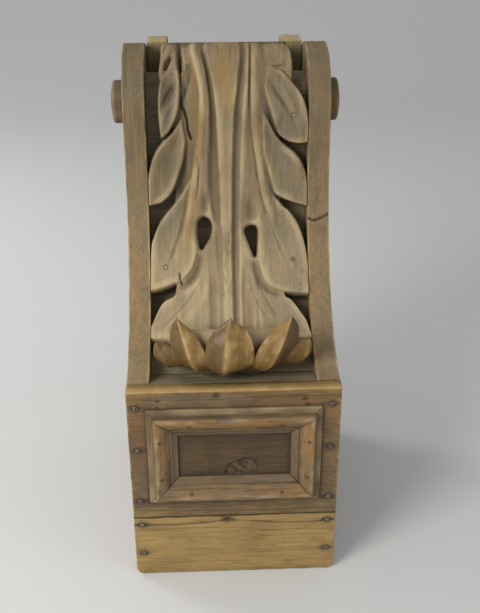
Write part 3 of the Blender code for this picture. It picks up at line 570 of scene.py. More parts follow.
curl = {
    "forward": 0.049, "lift": 0.0455, "radius": 43.0, "sweep": 0.018, "endInset": 0.036, "keel": 10.5, "depth": 20.0,
    "rows": 46, "columns": 31, "coreRadius": 0.0215, "turns": 28, "rings": 15, "roomFrom": 98.0, "room": 18.0,
}
# darkSide picks the side of a petal given painted shade (0 shades all of it), and dark says how much
petals = {
    "farLeft": dict(foot=(-80, -98), tip=(-108, 12), half=31, back=2, rise=0, keelAt=0.0, wearAndHighlight=0.25,
                    darkSide=0, dark=0.35),
    "farRight": dict(foot=(78, -98), tip=(112, 14), half=31, back=2, rise=0, keelAt=0.0, wearAndHighlight=0.85,
                     darkSide=-1, dark=0.30),
    "left": dict(foot=(-44, -88), tip=(-77, 60), half=23, back=1, rise=11, keelAt=-0.05, wearAndHighlight=1.0, darkSide=-1,
                 dark=0.50),
    "right": dict(foot=(34, -88), tip=(83, 60), half=27, back=1, rise=10, keelAt=0.06, wearAndHighlight=0.70, darkSide=1,
                  dark=0.62),
    "centre": dict(foot=(-9, -86), tip=(-2, 66), half=34, back=-2, rise=11, keelAt=-0.28, wearAndHighlight=1.0, darkSide=-1,
                   dark=0.55),
}


def curlCentre(x):
    share = x * mm / (leafHalf - curl["endInset"])
    return -bracket["depth"] + curl["forward"] + curl["sweep"] * share**2, boxTop + curl["lift"]


def makePetal(name, petal):
    rows, columns = curl["rows"], curl["columns"]
    u, t = np.meshgrid(np.linspace(-1, 1, columns), np.linspace(0, 1, rows))
    radius = curl["radius"]
    foot = np.array([petal["foot"][0], radius * math.radians(petal["foot"][1])])
    tip = np.array([petal["tip"][0], radius * math.radians(petal["tip"][1])])
    way = tip - foot
    aside = np.array([way[1], -way[0]]) / np.hypot(*way)
    half = petal["half"] * np.maximum(0.004, np.sin(np.pi * (0.19 + 0.81 * t**1.4))) ** 0.54
    placeX = foot[0] + way[0] * t + aside[0] * half * u
    placeA = foot[1] + way[1] * t + aside[1] * half * u
    # the outer petals are squeezed in between the side boards
    apart, room = np.abs(placeX), curl["room"]
    outside = np.clip(apart - curl["roomFrom"], 0, None)
    placeX = np.sign(placeX) * (np.minimum(apart, curl["roomFrom"]) + room * (1 - np.exp(-outside / room)))
    cy, cz = curlCentre(placeX)
    cz = cz + petal["rise"] * mm * t**1.6
    bend = np.abs(u - petal["keelAt"] * (1 - u * u))
    fall = curl["keel"] * (0.78 * bend**1.05 + 0.22 * bend**3)
    flank = 0.3 * np.sin(np.pi * clipped(bend)) * np.sin(np.pi * t)
    rough = 0.35 * field(placeX, placeA, 8, 14, petal["half"] * 0.7) + 0.2 * field(placeX, placeA, 3, 6, 4.0)
    reach = radius - petal["back"] - fall - flank + rough
    angle = placeA / radius
    span = leafHalf / (drawnHalf * mm)
    behind = reach - curl["depth"] * (0.35 + 0.65 * (1 - np.abs(u))) * (1 - 0.6 * t)
    front, back = (np.stack([placeX * mm * span, cy - r * mm * np.cos(angle), cz + r * mm * np.sin(angle)], -1)
                   for r in (reach, behind))
    patchy = clipped(0.5 + 0.9 * field(placeX, placeA, 9, 12, 5.5))
    off = u - petal["keelAt"] * (1 - u * u)
    # pale keel: wear with a painted highlight, less of it on the shaded side
    keel = fading(bend, 0.20) * np.where(off * petal["darkSide"] > 0, 0.25, 1.0) * (0.5 + 0.6 * patchy)
    # painted shade on the side away from the light
    shaded = petal["dark"] * (smooth(off * petal["darkSide"] / 0.06) if petal["darkSide"] else 1.0)
    edge = smooth((np.abs(u) - 0.80) / 0.2) * patchy
    gold = petal["wearAndHighlight"] * (0.55 + 0.45 * smooth(t * 2.2 - 0.4)) * (0.75 + 0.6 * field(placeX, placeA, 14, 20, 9.1))
    # painted shade at the petal's foot, under the roll
    low = smooth(0.42 - t * 1.1)
    stain = 0.22 * clipped(field(placeX, placeA, 5, 7, 3.9))
    # painted highlight on the lit side
    bright = 0.30 * smooth(-off * petal["darkSide"] / 0.06) * smooth((t - 0.25) / 0.3) * patchy
    tints = {"run": placeA * mm, "hollow": clipped(0.95 * low + shaded + stain),
             "wearAndHighlight": (0.75 * keel + 0.35 * edge + bright) * smooth(t * 3) * petal["wearAndHighlight"],
             "gold": clipped(gold + 0.45),
             "patina": clipped(0.2 + 0.8 * field(placeX, placeA, 12, 16, 7.7))}
    everywhere = np.ones(u.shape, bool)
    return slab("petal" + name, np.arange(columns), np.arange(rows), everywhere, front, back, tints, 0.2)


def makeCurlCore():
    # the rolled wood that the petals stand on, with painted shade below and a painted highlight on top
    bpy.ops.mesh.primitive_uv_sphere_add(segments=curl["turns"], ring_count=curl["rings"], radius=1, location=(0, 0, 0))
    core = bpy.context.object
    core.name = "curlCore"
    for vert in core.data.vertices:
        x, y, z = vert.co
        # the ball's poles are turned to lie across the bracket
        along, up, out = z, x, y
        reach = (leafHalf - curl["endInset"]) * along
        swell = max(0.12, math.sqrt(max(0.0, 1 - along * along))) ** 0.4
        size = max(1e-6, math.hypot(up, out))
        cy, cz = curlCentre(reach / mm)
        vert.co = (reach, cy - curl["coreRadius"] * swell * out / size, cz + curl["coreRadius"] * swell * up / size)
    closeUp()
    high = [(vert.co.z - boxTop - curl["lift"]) / 0.023 for vert in core.data.vertices]
    # painted shade on the underside, painted highlight on the top
    addTint(core, "hollow", [0.9 * (1 - min(1, max(0, h + 0.2))) for h in high])
    addTint(core, "wearAndHighlight", [0.45 * min(1, max(0, h)) for h in high])
    addTint(core, "run", [0.5 + vert.co.z for vert in core.data.vertices])
    return finished(core)


def joined(name, pieces):
    bpy.ops.object.select_all(action="DESELECT")
    for piece in pieces:
        piece.select_set(True)
    bpy.context.view_layer.objects.active = pieces[0]
    bpy.ops.object.join()
    whole = bpy.context.object
    whole.name = name
    whole.data.name = name
    bpy.ops.object.select_all(action="DESELECT")
    return whole


# the nailed box front

frontBoards = {
    "panelFront": dict(node="panel_front_board", low=107.3, high=323.8, arris=1.3, topArris=2.6, round=0, seed=2.0,
                       cuts=[([(-150, 121), (-60, 118), (40, 116), (150, 117)], 0.7, 0.7),
                             ([(-150, 312), (-40, 309), (60, 313), (150, 311)], 0.7, 0.6),
                             ([(-80, 240), (10, 237), (80, 240)], 0.6, 0.5)]),
    "lowerFront": dict(node="lower_front_board", low=0.0, high=107.0, arris=1.6, topArris=1.4, round=12, seed=6.0,
                       cuts=[([(-150, 93.0), (-90, 92.0), (-40, 94.5), (-11, 98)], 1.35, 3.0),
                             ([(-11, 98), (24, 95), (62, 91), (104, 90), (128, 90.5), (133, 94), (150, 92.5)],
                              1.35, 3.0),
                             ([(-120, 84), (-60, 86), (20, 83)], 0.6, 0.6), ([(40, 76), (90, 78), (150, 75)], 0.7, 0.8),
                             ([(30, 66), (100, 68), (148, 64)], 0.6, 0.6)]),
}
nail = {
    "edge": 12.5, "heights": {"upper": 297.8, "middle": 226.55, "lower": 137.3, "joint": 94.0, "foot": 40.66},
    "wide": 8.4, "tall": 7.0, "proud": 1.4, "shank": 3.0, "length": 48.0,
}
panel = {
    "torn": [(-15, 181), (-13, 191), (-10, 198), (-3, 202), (5, 206), (12, 209), (18, 210), (25, 207), (30, 204),
             (33, 195), (30, 181)],
    "marks": [(99, 307, 2.2), (103, 298, 1.8), (-106, 308, 1.8), (-107, 298, 1.5), (-25, 316, 3.4)],
    "frame": (-123.5, 137.8, 123.5, 295.8), "field": (81.0, 180.0, 252.5),
}


def steps(low, high, cell, soft):
    # even steps, with a few close ones at both ends where an edge is rounded
    near = soft * np.array([0.0, 0.12, 0.28, 0.5, 0.75, 1.05])
    inside = np.linspace(low + soft * 1.5, high - soft * 1.5, int((high - low) / cell))
    return np.concatenate([low + near, inside, high - near[::-1]])


def panelMarks(x, z):
    # the torn patch, small holes, dark rims round the moulding, painted shadow under it, the sunk field, worn and grey
    # places
    torn = edgeGap(x, z, np.array(panel["torn"], float)) + 1.6 * field(x, z, 5, 4, 3.1)
    inside = smooth((torn + 0.3) / 0.9)
    scratch = field(x + z * 0.5, z, 3.0, 9, 6.4)
    sink = inside * (1.9 + 1.3 * scratch)
    upper = smooth((z - 188) / 14) * 0.6 + 0.3
    dirtAndShade = 1.7 * upper * fading(torn - 0.1, 1.2) + 0.4 * inside * clipped(scratch + 0.1)
    wearAndHighlight = 0.35 * inside * clipped(0.3 - scratch)
    for mx, mz, size in panel["marks"]:
        gap = np.hypot((x - mx) * 0.8, z - mz)
        sink += 1.0 * fading(gap, size)
        dirtAndShade += 1.1 * fading(gap, size * 1.3)
    x0, z0, x1, z1 = panel["frame"]
    rim = np.maximum(np.maximum(x0 - x, x - x1), np.maximum(z0 - z, z - z1))
    dirtAndShade += 0.55 * fading(np.clip(rim, 0, None), 4.0)
    # painted shadow cast on the board below the moulding, strongest at the left
    below = fading(z0 - z, 9) * smooth((x + 130) / 10) * (1 - 0.6 * smooth((x - 10) / 70)) * (z < z0)
    dirtAndShade += 0.55 * below
    fx, fz0, fz1 = panel["field"]
    inner = np.minimum(fx - np.abs(x), np.minimum(z - fz0, fz1 - z))
    sunk = smooth(inner / 1.0)
    dirtAndShade += 0.40 * sunk * fading(np.clip(inner, 0, None), 5.0) + 0.14 * sunk
    dirtAndShade += 0.16 * sunk * smooth((z - 215) / 40)
    top = smooth((z - 293) / 8)
    greyTop = top * smooth((x + 128) / 14) * smooth((38 - x) / 40) * smooth((321 - z) / 6)
    left = smooth((-118 - x) / 12)
    gold = 0.12 * top * (1 - greyTop) + 0.06 * left * smooth((z - 150) / 90) + 0.85 * smooth((z - 320.8) / 2.4)
    gold += 0.25 * smooth((x - 120) / 14) * smooth((z - 262) / 40) + 0.22 * field(x, z, 40, 30, 5.2)
    gold += 0.30 * smooth((132 - z) / 14) * smooth((-60 - x) / 60)
    patina = 1.0 * greyTop + 0.55 * smooth((x - 118) / 14) * smooth((290 - z) / 40) + 0.5 * smooth((139 - z) / 10)
    patina += 0.25 * sunk + 0.55 * left * smooth((262 - z) / 60)
    dirtAndShade += 0.12 * top * (1 - greyTop) * smooth((321 - z) / 5)
    return sink, dirtAndShade, wearAndHighlight, gold, patina


def lowerMarks(x, z):
    # the dark knot in the split, and golden wood that greys to the right
    knot = np.hypot((x + 11) / 7.5, (z - 98.5) / 4.4)
    sink = 2.8 * fading(knot, 1)
    dirtAndShade = 1.4 * fading(knot, 1.15)
    swirl = fading(np.hypot(x / 60, (z - 96) / 24), 1)
    gold = 0.84 + 0.20 * field(x, z, 60, 26, frontBoards["lowerFront"]["seed"] + 8) - 0.15 * swirl
    patina = 0.55 * smooth((x - 40) / 60) * smooth((z - 42) / 30) + 0.45 * smooth((z - 78) / 14)
    dirtAndShade += 0.25 * smooth((10 - z) / 10)
    return sink, dirtAndShade, 0.0, gold, patina


def makeFrontBoard(name, board):
    half = bracket["halfWidth"] / mm
    xs = steps(-half, half, 1.5, 2.0)
    zs = steps(board["low"], board["high"], 1.3, 2.0)
    x, z = np.meshgrid(xs, zs)
    seed = board["seed"]
    side, up, down = half - np.abs(x), board["high"] - z, z - board["low"]
    r = np.where(up < side, board["topArris"], board["arris"]) * (1 + 0.7 * field(x, z, 20, 20, seed))
    edge = np.minimum(np.minimum(side, up), down)
    grain = 0.30 * field(x, z, 120, 6, seed + 1) + 0.16 * field(x, z, 60, 2.6, seed + 2)
    sink = rounded(edge, r) + (0.25 + grain) * smooth(edge / 5)
    dirtAndShade = clipped(0.14 * field(x, z, 70, 9, seed + 3))
    joint = down if name == "panelFront" else up
    ragged = 1 + 0.5 * field(x, z, 30, 9, seed + 9)
    dirtAndShade += 1.1 * smooth((2.2 * ragged - joint) / 1.6)
    sink = sink + 1.6 * smooth((1.5 * ragged - joint) / 1.5)
    wearAndHighlight = 0.7 * smooth((3.0 - edge) / 2.6) * smooth((joint - 3) / 3)
    wearAndHighlight *= clipped(0.45 + 0.9 * field(x, z, 16, 16, seed + 4))
    for points, width, depth in board["cuts"]:
        gap, _ = lineGap(x, z, through(points, 8))
        shape = fading(gap, width) * (0.75 + 0.35 * field(x, z, 30, 30, seed + 5))
        sink += depth * shape
        dirtAndShade += shape * min(1.0, 1.3 * depth) * 0.95
    for height in nail["heights"].values():
        for sign in (-1, 1):
            aside = x - sign * (half - nail["edge"])
            gap = np.hypot(aside, (z - height) * 1.15)
            sink += 0.7 * fading(gap, 5.5)
            smear = fading(z - height, 3.2) * fading(aside, 17)
            dirtAndShade += 0.95 * fading(gap, 7.2) + 0.40 * smear
    marks = panelMarks(x, z) if name == "panelFront" else lowerMarks(x, z)
    sink, dirtAndShade, wearAndHighlight = (own + more for own, more in zip((sink, dirtAndShade, wearAndHighlight), marks))
    gold, patina = marks[3:]
    if board["round"]:
        big = board["round"]
        drop = np.clip(big - down, 0, big)
        x = x * (half - big + np.sqrt(big * big - drop * drop)) / half
    y = -bracket["depth"] / mm + sink
    backY = np.full(x.shape, (ledgeY - bracket["gap"]) / mm)
    front = np.stack([x * mm, y * mm, underside + z * mm], -1)
    back = np.stack([x * mm, backY * mm, underside + z * mm], -1)
    tints = {"hollow": clipped(dirtAndShade), "wearAndHighlight": clipped(wearAndHighlight), "gold": clipped(gold), "patina": clipped(patina)}
    return slab(name, xs, zs, np.ones(x.shape, bool), front, back, tints, 0.05)


# four mitred strips of moulding: distance in from the outer edge, and height off the board

moulding = {
    "section": [(0.0, 0.35), (0.0, 3.2), (0.7, 4.0), (8.6, 4.2), (9.0, 4.6), (9.1, 10.8), (10.0, 13.8), (12.0, 15.3),
                (14.0, 15.5), (17.0, 15.0), (20.5, 13.8), (24.0, 11.9), (27.5, 9.6), (30.5, 7.6), (31.4, 6.9),
                (31.9, 6.0), (32.5, 6.3), (34.5, 5.9), (37.0, 3.9), (39.5, 2.6), (42.6, 1.9),
                (43.0, 1.4), (43.0, 0.35)],
    "outer": 123.5, "low": 137.8, "tall": 158.0,
    "nails": {"mouldingTop": [(60.5, 24), (190.5, 24)], "mouldingBottom": [(61.5, 20), (191.5, 20)],
              "mouldingLeft": [(47, 20), (111, 18)], "mouldingRight": [(45, 20), (106, 18)]},
    # in each strip, the number after gold is an even painted shade: most on the top strip, which faces down, none on
    # the bottom strip, which faces up
    "strips": {
        "mouldingTop": dict(node="moulding_top", start=(-1, 1), way=(1, 0), into=(0, -1), gold=1.25, dirtAndShade=0.10),
        "mouldingBottom": dict(node="moulding_bottom", start=(-1, 0), way=(1, 0), into=(0, 1), gold=0.65, dirtAndShade=0.0),
        "mouldingLeft": dict(node="moulding_left", start=(-1, 0), way=(0, 1), into=(1, 0), gold=1.15, dirtAndShade=0.08,
                             greyFoot=(70, 0.35, 40)),
        "mouldingRight": dict(node="moulding_right", start=(1, 0), way=(0, 1), into=(-1, 0), gold=0.95, dirtAndShade=0.06,
                              greyFoot=(60, 0.45, 50)),
    },
}


def makeMoulding(name, strip):
    reach, rise = sampled(moulding["section"], 42)
    length = 2 * moulding["outer"] if strip["way"][0] else moulding["tall"]
    shares = steps(0, length, 1.7, 1.2) / length
    a, q = np.meshgrid(shares, reach)
    h = np.broadcast_to(rise[:, None], a.shape)
    seed = len(name) * 3.7 + strip["start"][0]
    alongPlace = q + 0.15 + a * (length - 2 * q - 0.3)
    end = np.minimum(alongPlace - q, length - q - alongPlace)
    dent = 0.35 * field(alongPlace, q, 26, 9, seed) + 0.18 * field(alongPlace, q, 9, 5, seed + 1)
    solid = clipped(h / 4.0)
    height = h + dent * solid - 0.7 * fading(end, 1.1) * solid
    blotch = clipped(0.5 + 0.8 * field(alongPlace, q, 30, 10, seed + 7))
    # the strip's even painted shade, then darker in the creases, down the inner slope and at the mitred ends
    dirtAndShade = strip["dirtAndShade"] + 0.55 * blotch * fading(q - 31.7, 1.8)
    dirtAndShade = dirtAndShade + 0.45 * blotch * fading(q - 8.6, 1.3) + 0.35 * blotch * smooth((q - 22) / 8) * (q < 32)
    dirtAndShade = dirtAndShade + 0.6 * fading(end, 1.0) + 0.25 * smooth((q - 31) / 4)
    wearAndHighlight = 0.75 * fading(q - 14, 3.0) * clipped(0.4 + field(alongPlace, q, 22, 12, seed + 2))
    wearAndHighlight = wearAndHighlight + 0.7 * (q < 8.4) * clipped(0.5 + 0.7 * field(alongPlace, q, 40, 30, seed + 3))
    gold = strip["gold"] * smooth((q - 9.5) / 2) * smooth((32 - q) / 3)
    gold = gold * np.clip(0.75 + 0.8 * field(alongPlace, q, 34, 14, seed + 4), 0, 1.2)
    if "greyFoot" in strip:
        low, share, fade = strip["greyFoot"]
        gold = gold * (share + (1 - share) * smooth((alongPlace - low) / fade))
    for na, nq in moulding["nails"][name]:
        gap = np.hypot(alongPlace - na, q - nq)
        height = height - 1.6 * fading(gap, 1.7)
        dirtAndShade = dirtAndShade + 1.2 * fading(gap, 2.4)
    outerX, lowZ = strip["start"][0] * moulding["outer"], moulding["low"] + strip["start"][1] * moulding["tall"]
    px = outerX + strip["way"][0] * alongPlace + strip["into"][0] * q
    pz = lowZ + strip["way"][1] * alongPlace + strip["into"][1] * q
    y = -bracket["depth"] / mm - 0.3
    front = np.stack([px * mm, (y - height) * mm, underside + pz * mm], -1)
    back = np.stack([px * mm, np.full(px.shape, y * mm), underside + pz * mm], -1)
    tints = {"hollow": clipped(dirtAndShade), "wearAndHighlight": clipped(wearAndHighlight), "gold": clipped(gold),
             "patina": clipped(0.3 + 0.5 * field(alongPlace, q, 60, 30, seed + 6))}
    return slab(name, shares, reach, np.ones(a.shape, bool), front, back, tints, 0.2)


# side boards, each a loop round its outline drawn across its thickness

sideBoard = {
    "arris": 1.5,
    "cracks": {1: [([(120, 289), (125, 291.5), (131, 292), (137, 289), (143, 287), (151, 282)], 1.5, 3.4)],
               -1: [([(143, 18), (142, 60), (143.5, 96)], 0.8, 0.8)]},
    "faceTones": {"wearAndHighlight": 0.0, "hollow": 0.12, "gold": 0.25, "patina": 0.45},
}


def sideOutline():
    r = bracket["voluteRadius"]
    turn = np.linspace(0, math.pi / 2, 44)
    rear = np.stack([-r + r * np.cos(turn), voluteZ + r * np.sin(turn)], 1)
    s = np.linspace(0, ledgeShare * 0.550, 330)
    front = np.stack([np.interp(s, lineS, lineY), np.interp(s, lineS, lineZ)], 1)
    up = [(0.0, z) for z in np.linspace(underside, voluteZ, 24)]
    down = [(ledgeY, z) for z in np.linspace(front[-1][1], underside, 22)[1:]]
    level = [(y, underside) for y in np.linspace(ledgeY, 0.0, 24)[1:]]
    outline = np.array(up + [tuple(p) for p in rear[1:]] + [tuple(p) for p in front[1:]] + down + level)
    place = np.concatenate([np.full(len(up) + len(rear) - 1, -50.0), s[1:] / mm / ledgeShare,
                            np.full(len(down) + len(level), 700.0)])
    return outline, place


def makeSideBoard(name, sign):
    outline, place = sideOutline()
    loop = outline[:-1]
    ahead, behind = np.roll(loop, -1, axis=0) - loop, loop - np.roll(loop, 1, axis=0)
    ahead /= np.hypot(*ahead.T)[:, None]
    behind /= np.hypot(*behind.T)[:, None]
    way = ahead + behind
    way /= np.hypot(*way.T)[:, None]
    inward = np.stack([-way[:, 1], way[:, 0]], 1) / np.maximum(0.5, np.sum(way * ahead, axis=1))[:, None]
    outline, inward = np.vstack([loop, loop[:1]]), np.vstack([inward, inward[:1]])
    run = runAlong(outline) / mm
    low, high = innerX / mm, bracket["halfWidth"] / mm
    xs = steps(low, high, 1.7, 1.6)
    along, across = np.meshgrid(run, xs)
    spot = np.broadcast_to(place, along.shape)
    side = np.minimum(across - low, high - across)
    seed = 3.0 + sign
    r = sideBoard["arris"] * (1 + 0.8 * field(along, across * 0 + sign * 9, 26, 30, seed))
    sink = rounded(side, r) + (0.2 + 0.25 * field(along, across, 70, 7, seed + 1)) * smooth(side / 4)
    wearAndHighlight = 0.85 * smooth((3.0 - side) / 2.6) * clipped(0.45 + 0.9 * field(along, across, 24, 50, seed + 2))
    dirtAndShade = clipped(0.25 * field(along, across, 50, 12, seed + 3))
    for points, width, depth in sideBoard["cracks"][sign]:
        gap, _ = lineGap(across, spot, through(points, 6))
        cut = fading(gap, width)
        sink += depth * cut
        dirtAndShade += min(1.0, depth / 3) * cut
    if sign > 0:
        # below the break the edge has lost a shallow flake
        lost = smooth((spot - 289 + 0.25 * (across - 134)) / 1.5) * smooth((306 - spot) / 14)
        sink += 1.6 * lost * smooth((across - 124) / 6)
    gold = clipped(0.35 + 0.9 * field(along, across, 60, 22, seed + 4)) * 0.7 + 0.5 * wearAndHighlight
    patina = clipped(0.35 + 0.9 * field(along, across, 90, 30, seed + 5))
    patina = clipped(patina + 0.5 * smooth((170 - spot) / 120) * (spot > -1))
    seam = np.append(np.arange(along.shape[1] - 1), 0)
    sink = sink[:, seam]
    tones = {"wearAndHighlight": wearAndHighlight[:, seam], "hollow": dirtAndShade[:, seam], "gold": gold[:, seam], "patina": patina[:, seam]}
    y = outline[:, 0] + inward[:, 0] * sink * mm
    z = outline[:, 1] + inward[:, 1] * sink * mm
    piece = gridPiece(name, along.shape[1], along.shape[0])
    placePoints(piece, np.stack([sign * across * mm, y, z], -1))
    for title, grid in tones.items():
        # the broad faces are even in tone, so their rims carry one value
        grid[[0, -1]] = sideBoard["faceTones"][title]
        addTint(piece, title, clipped(grid).ravel())
    closeUp(0.000005, True)
    finished(piece)
    piece.data.set_sharp_from_angle(angle=math.radians(50))
    return piece


# turned bosses, battens and nail heads

boss = {"profile": [(0.0, 0.3), (31.0, 0.3), (31.6, 0.9), (32.0, 2.4), (32.0, 15.8), (31.4, 17.8), (30.0, 19.1),
                    (26.0, 20.2), (16.0, 21.6), (0.0, 22.2)], "turns": 96}


def makeBoss(name, sign):
    radius, reach = sampled(boss["profile"], 46)
    turn = np.linspace(0, 2 * math.pi, boss["turns"] + 1)
    t, q = np.meshgrid(turn, radius)
    h = np.broadcast_to(reach[:, None], t.shape)
    ring = 0.30 * field(np.cos(t) * 30 + sign, np.sin(t) * 30, 14, 14, 2.0 + sign)
    uneven = np.clip(q * (1 + ring / 30) - 0.15, 0, None)
    x = sign * (bracket["halfWidth"] / mm + h - 0.25 * (q > 20) * (h > 17))
    y = -bracket["voluteRadius"] / mm + uneven * np.cos(t)
    z = voluteZ / mm + uneven * np.sin(t)
    piece = gridPiece(name, t.shape[1], t.shape[0])
    placePoints(piece, np.stack([x, y, z], -1) * mm)
    rim = fading(h - 17.5, 1.6) * (q > 28)
    # painted shade over the whole boss, deepest where it meets the board
    sootAndShade = 0.35 + 0.3 * field(np.cos(t) * q, np.sin(t) * q, 20, 20, 7.0 + sign) + 0.3 * smooth((6 - h) / 6)
    for title, grid in (("hollow", sootAndShade), ("wearAndHighlight", 0.5 * rim), ("gold", 0.2 + 0 * h), ("patina", 0.5 + 0 * h)):
        addTint(piece, title, clipped(grid).ravel())
    closeUp(0.00001)
    return finished(piece)


batten = {"arris": 0.0018, "topFade": 0.012, "unevenTop": 0.0012, "shadeFrom": 0.012, "shadeOver": 0.07}


def makeBatten(name, node):
    # a sawn stick with soft edges and a rough, slightly leaning top
    (x0, y0, z0), (x1, y1, z1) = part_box(node)
    bpy.ops.mesh.primitive_cube_add(size=1, location=(0, 0, 0))
    piece = bpy.context.object
    piece.name = piece.data.name = name
    for vert in piece.data.vertices:
        vert.co = (x1 if vert.co.x > 0 else x0, y1 if vert.co.y > 0 else y0, z1 if vert.co.z > 0 else z0)
    soften = piece.modifiers.new("soft", "BEVEL")
    soften.width, soften.segments = batten["arris"], 3
    bpy.ops.object.modifier_apply(modifier="soft")
    bpy.ops.object.mode_set(mode="EDIT")
    bpy.ops.mesh.select_all(action="SELECT")
    bpy.ops.mesh.subdivide(number_cuts=5)
    bpy.ops.object.mode_set(mode="OBJECT")
    gold, dirtAndShade = [], []
    # painted highlight on the top, and painted shadow down the stick below it, cast by the leaf and the side board
    for vert in piece.data.vertices:
        top = max(0.0, 1 - (z1 - vert.co.z) / batten["topFade"])
        if top > 0:
            ridge = noise.noise((vert.co.x * 190, vert.co.y * 110, 3.0 + x0 * 9))
            vert.co.z += batten["unevenTop"] * (ridge * top - 1)
        gold.append(0.9 * top**6)
        dirtAndShade.append(min(0.8, max(0.0, (z1 - vert.co.z - batten["shadeFrom"]) / batten["shadeOver"])))
    addTint(piece, "gold", gold)
    addTint(piece, "hollow", dirtAndShade)
    addTint(piece, "wearAndHighlight", [0.5 * g * g for g in gold])
    finished(piece)
    piece.data.set_sharp_from_angle(angle=math.radians(42))
    return piece


def makeNail():
    # a hammered head over a square shank, drawn at the left upper nail
    bpy.ops.mesh.primitive_uv_sphere_add(segments=20, ring_count=12, radius=1, location=(0, 0, 0))
    head = bpy.context.object
    for vert in head.data.vertices:
        x, y, z = vert.co
        lump = 1 + 0.10 * noise.noise((x * 2.1, y * 2.1, z * 2.1))
        x = math.copysign(abs(x) ** 0.72, x) * nail["wide"] / 2 * lump
        z = math.copysign(abs(z) ** 0.72, z) * nail["tall"] / 2 * lump
        y = y * (nail["proud"] if y < 0 else 1.2) * lump
        vert.co = (x * mm, y * mm, z * mm)
    bpy.ops.object.shade_smooth()
    bpy.ops.mesh.primitive_cube_add(size=1, location=(0, 0, 0))
    shank = bpy.context.object
    for vert in shank.data.vertices:
        taper, reach = (0.5, 0.4) if vert.co.y < 0 else (0.3, nail["length"])
        vert.co = (math.copysign(taper, vert.co.x) * nail["shank"] * mm, reach * mm,
                   math.copysign(taper, vert.co.z) * nail["shank"] * mm)
    return joined("nailModel", [head, shank])


def placeNails():
    model = makeNail()
    for label, sign in (("left", -1), ("right", 1)):
        for place, height in nail["heights"].items():
            twin = model.copy()
            twin.data = model.data.copy()
            twin.name = twin.data.name = "nail" + label.title() + place.title()
            bpy.context.scene.collection.objects.link(twin)
            tilt = noise.noise((height * 0.13, sign * 2.0, 0.4)) * 0.5
            shift = Vector((sign * (bracket["halfWidth"] - nail["edge"] * mm), -bracket["depth"],
                            underside + height * mm))
            twin.data.transform(Matrix.Translation(shift) @ Matrix.Rotation(tilt, 4, "Y"))
            putIn(twin, "rustyIron", "nail_%s_%s" % (label, place))
    bpy.data.objects.remove(model)


# wood, as it has weathered

everyWood = dict(shine=0.25, greyShare=0.6, cloudShare=0.25, goldShare=1.0, ringShare=0.35, streakShare=0.5,
                 fineShare=0.28, paleShare=0.18, mottle=0.22, wearAndHighlightShare=0.7, dirtAndShadeShare=0.85, spotShare=0.35,
                 above=0.25, shadeFrom=-0.30, shadeTo=0.12, polish=0.2, roughRange=0.25, bump=0.5, bumpDepth=0.0012,
                 follows=False)


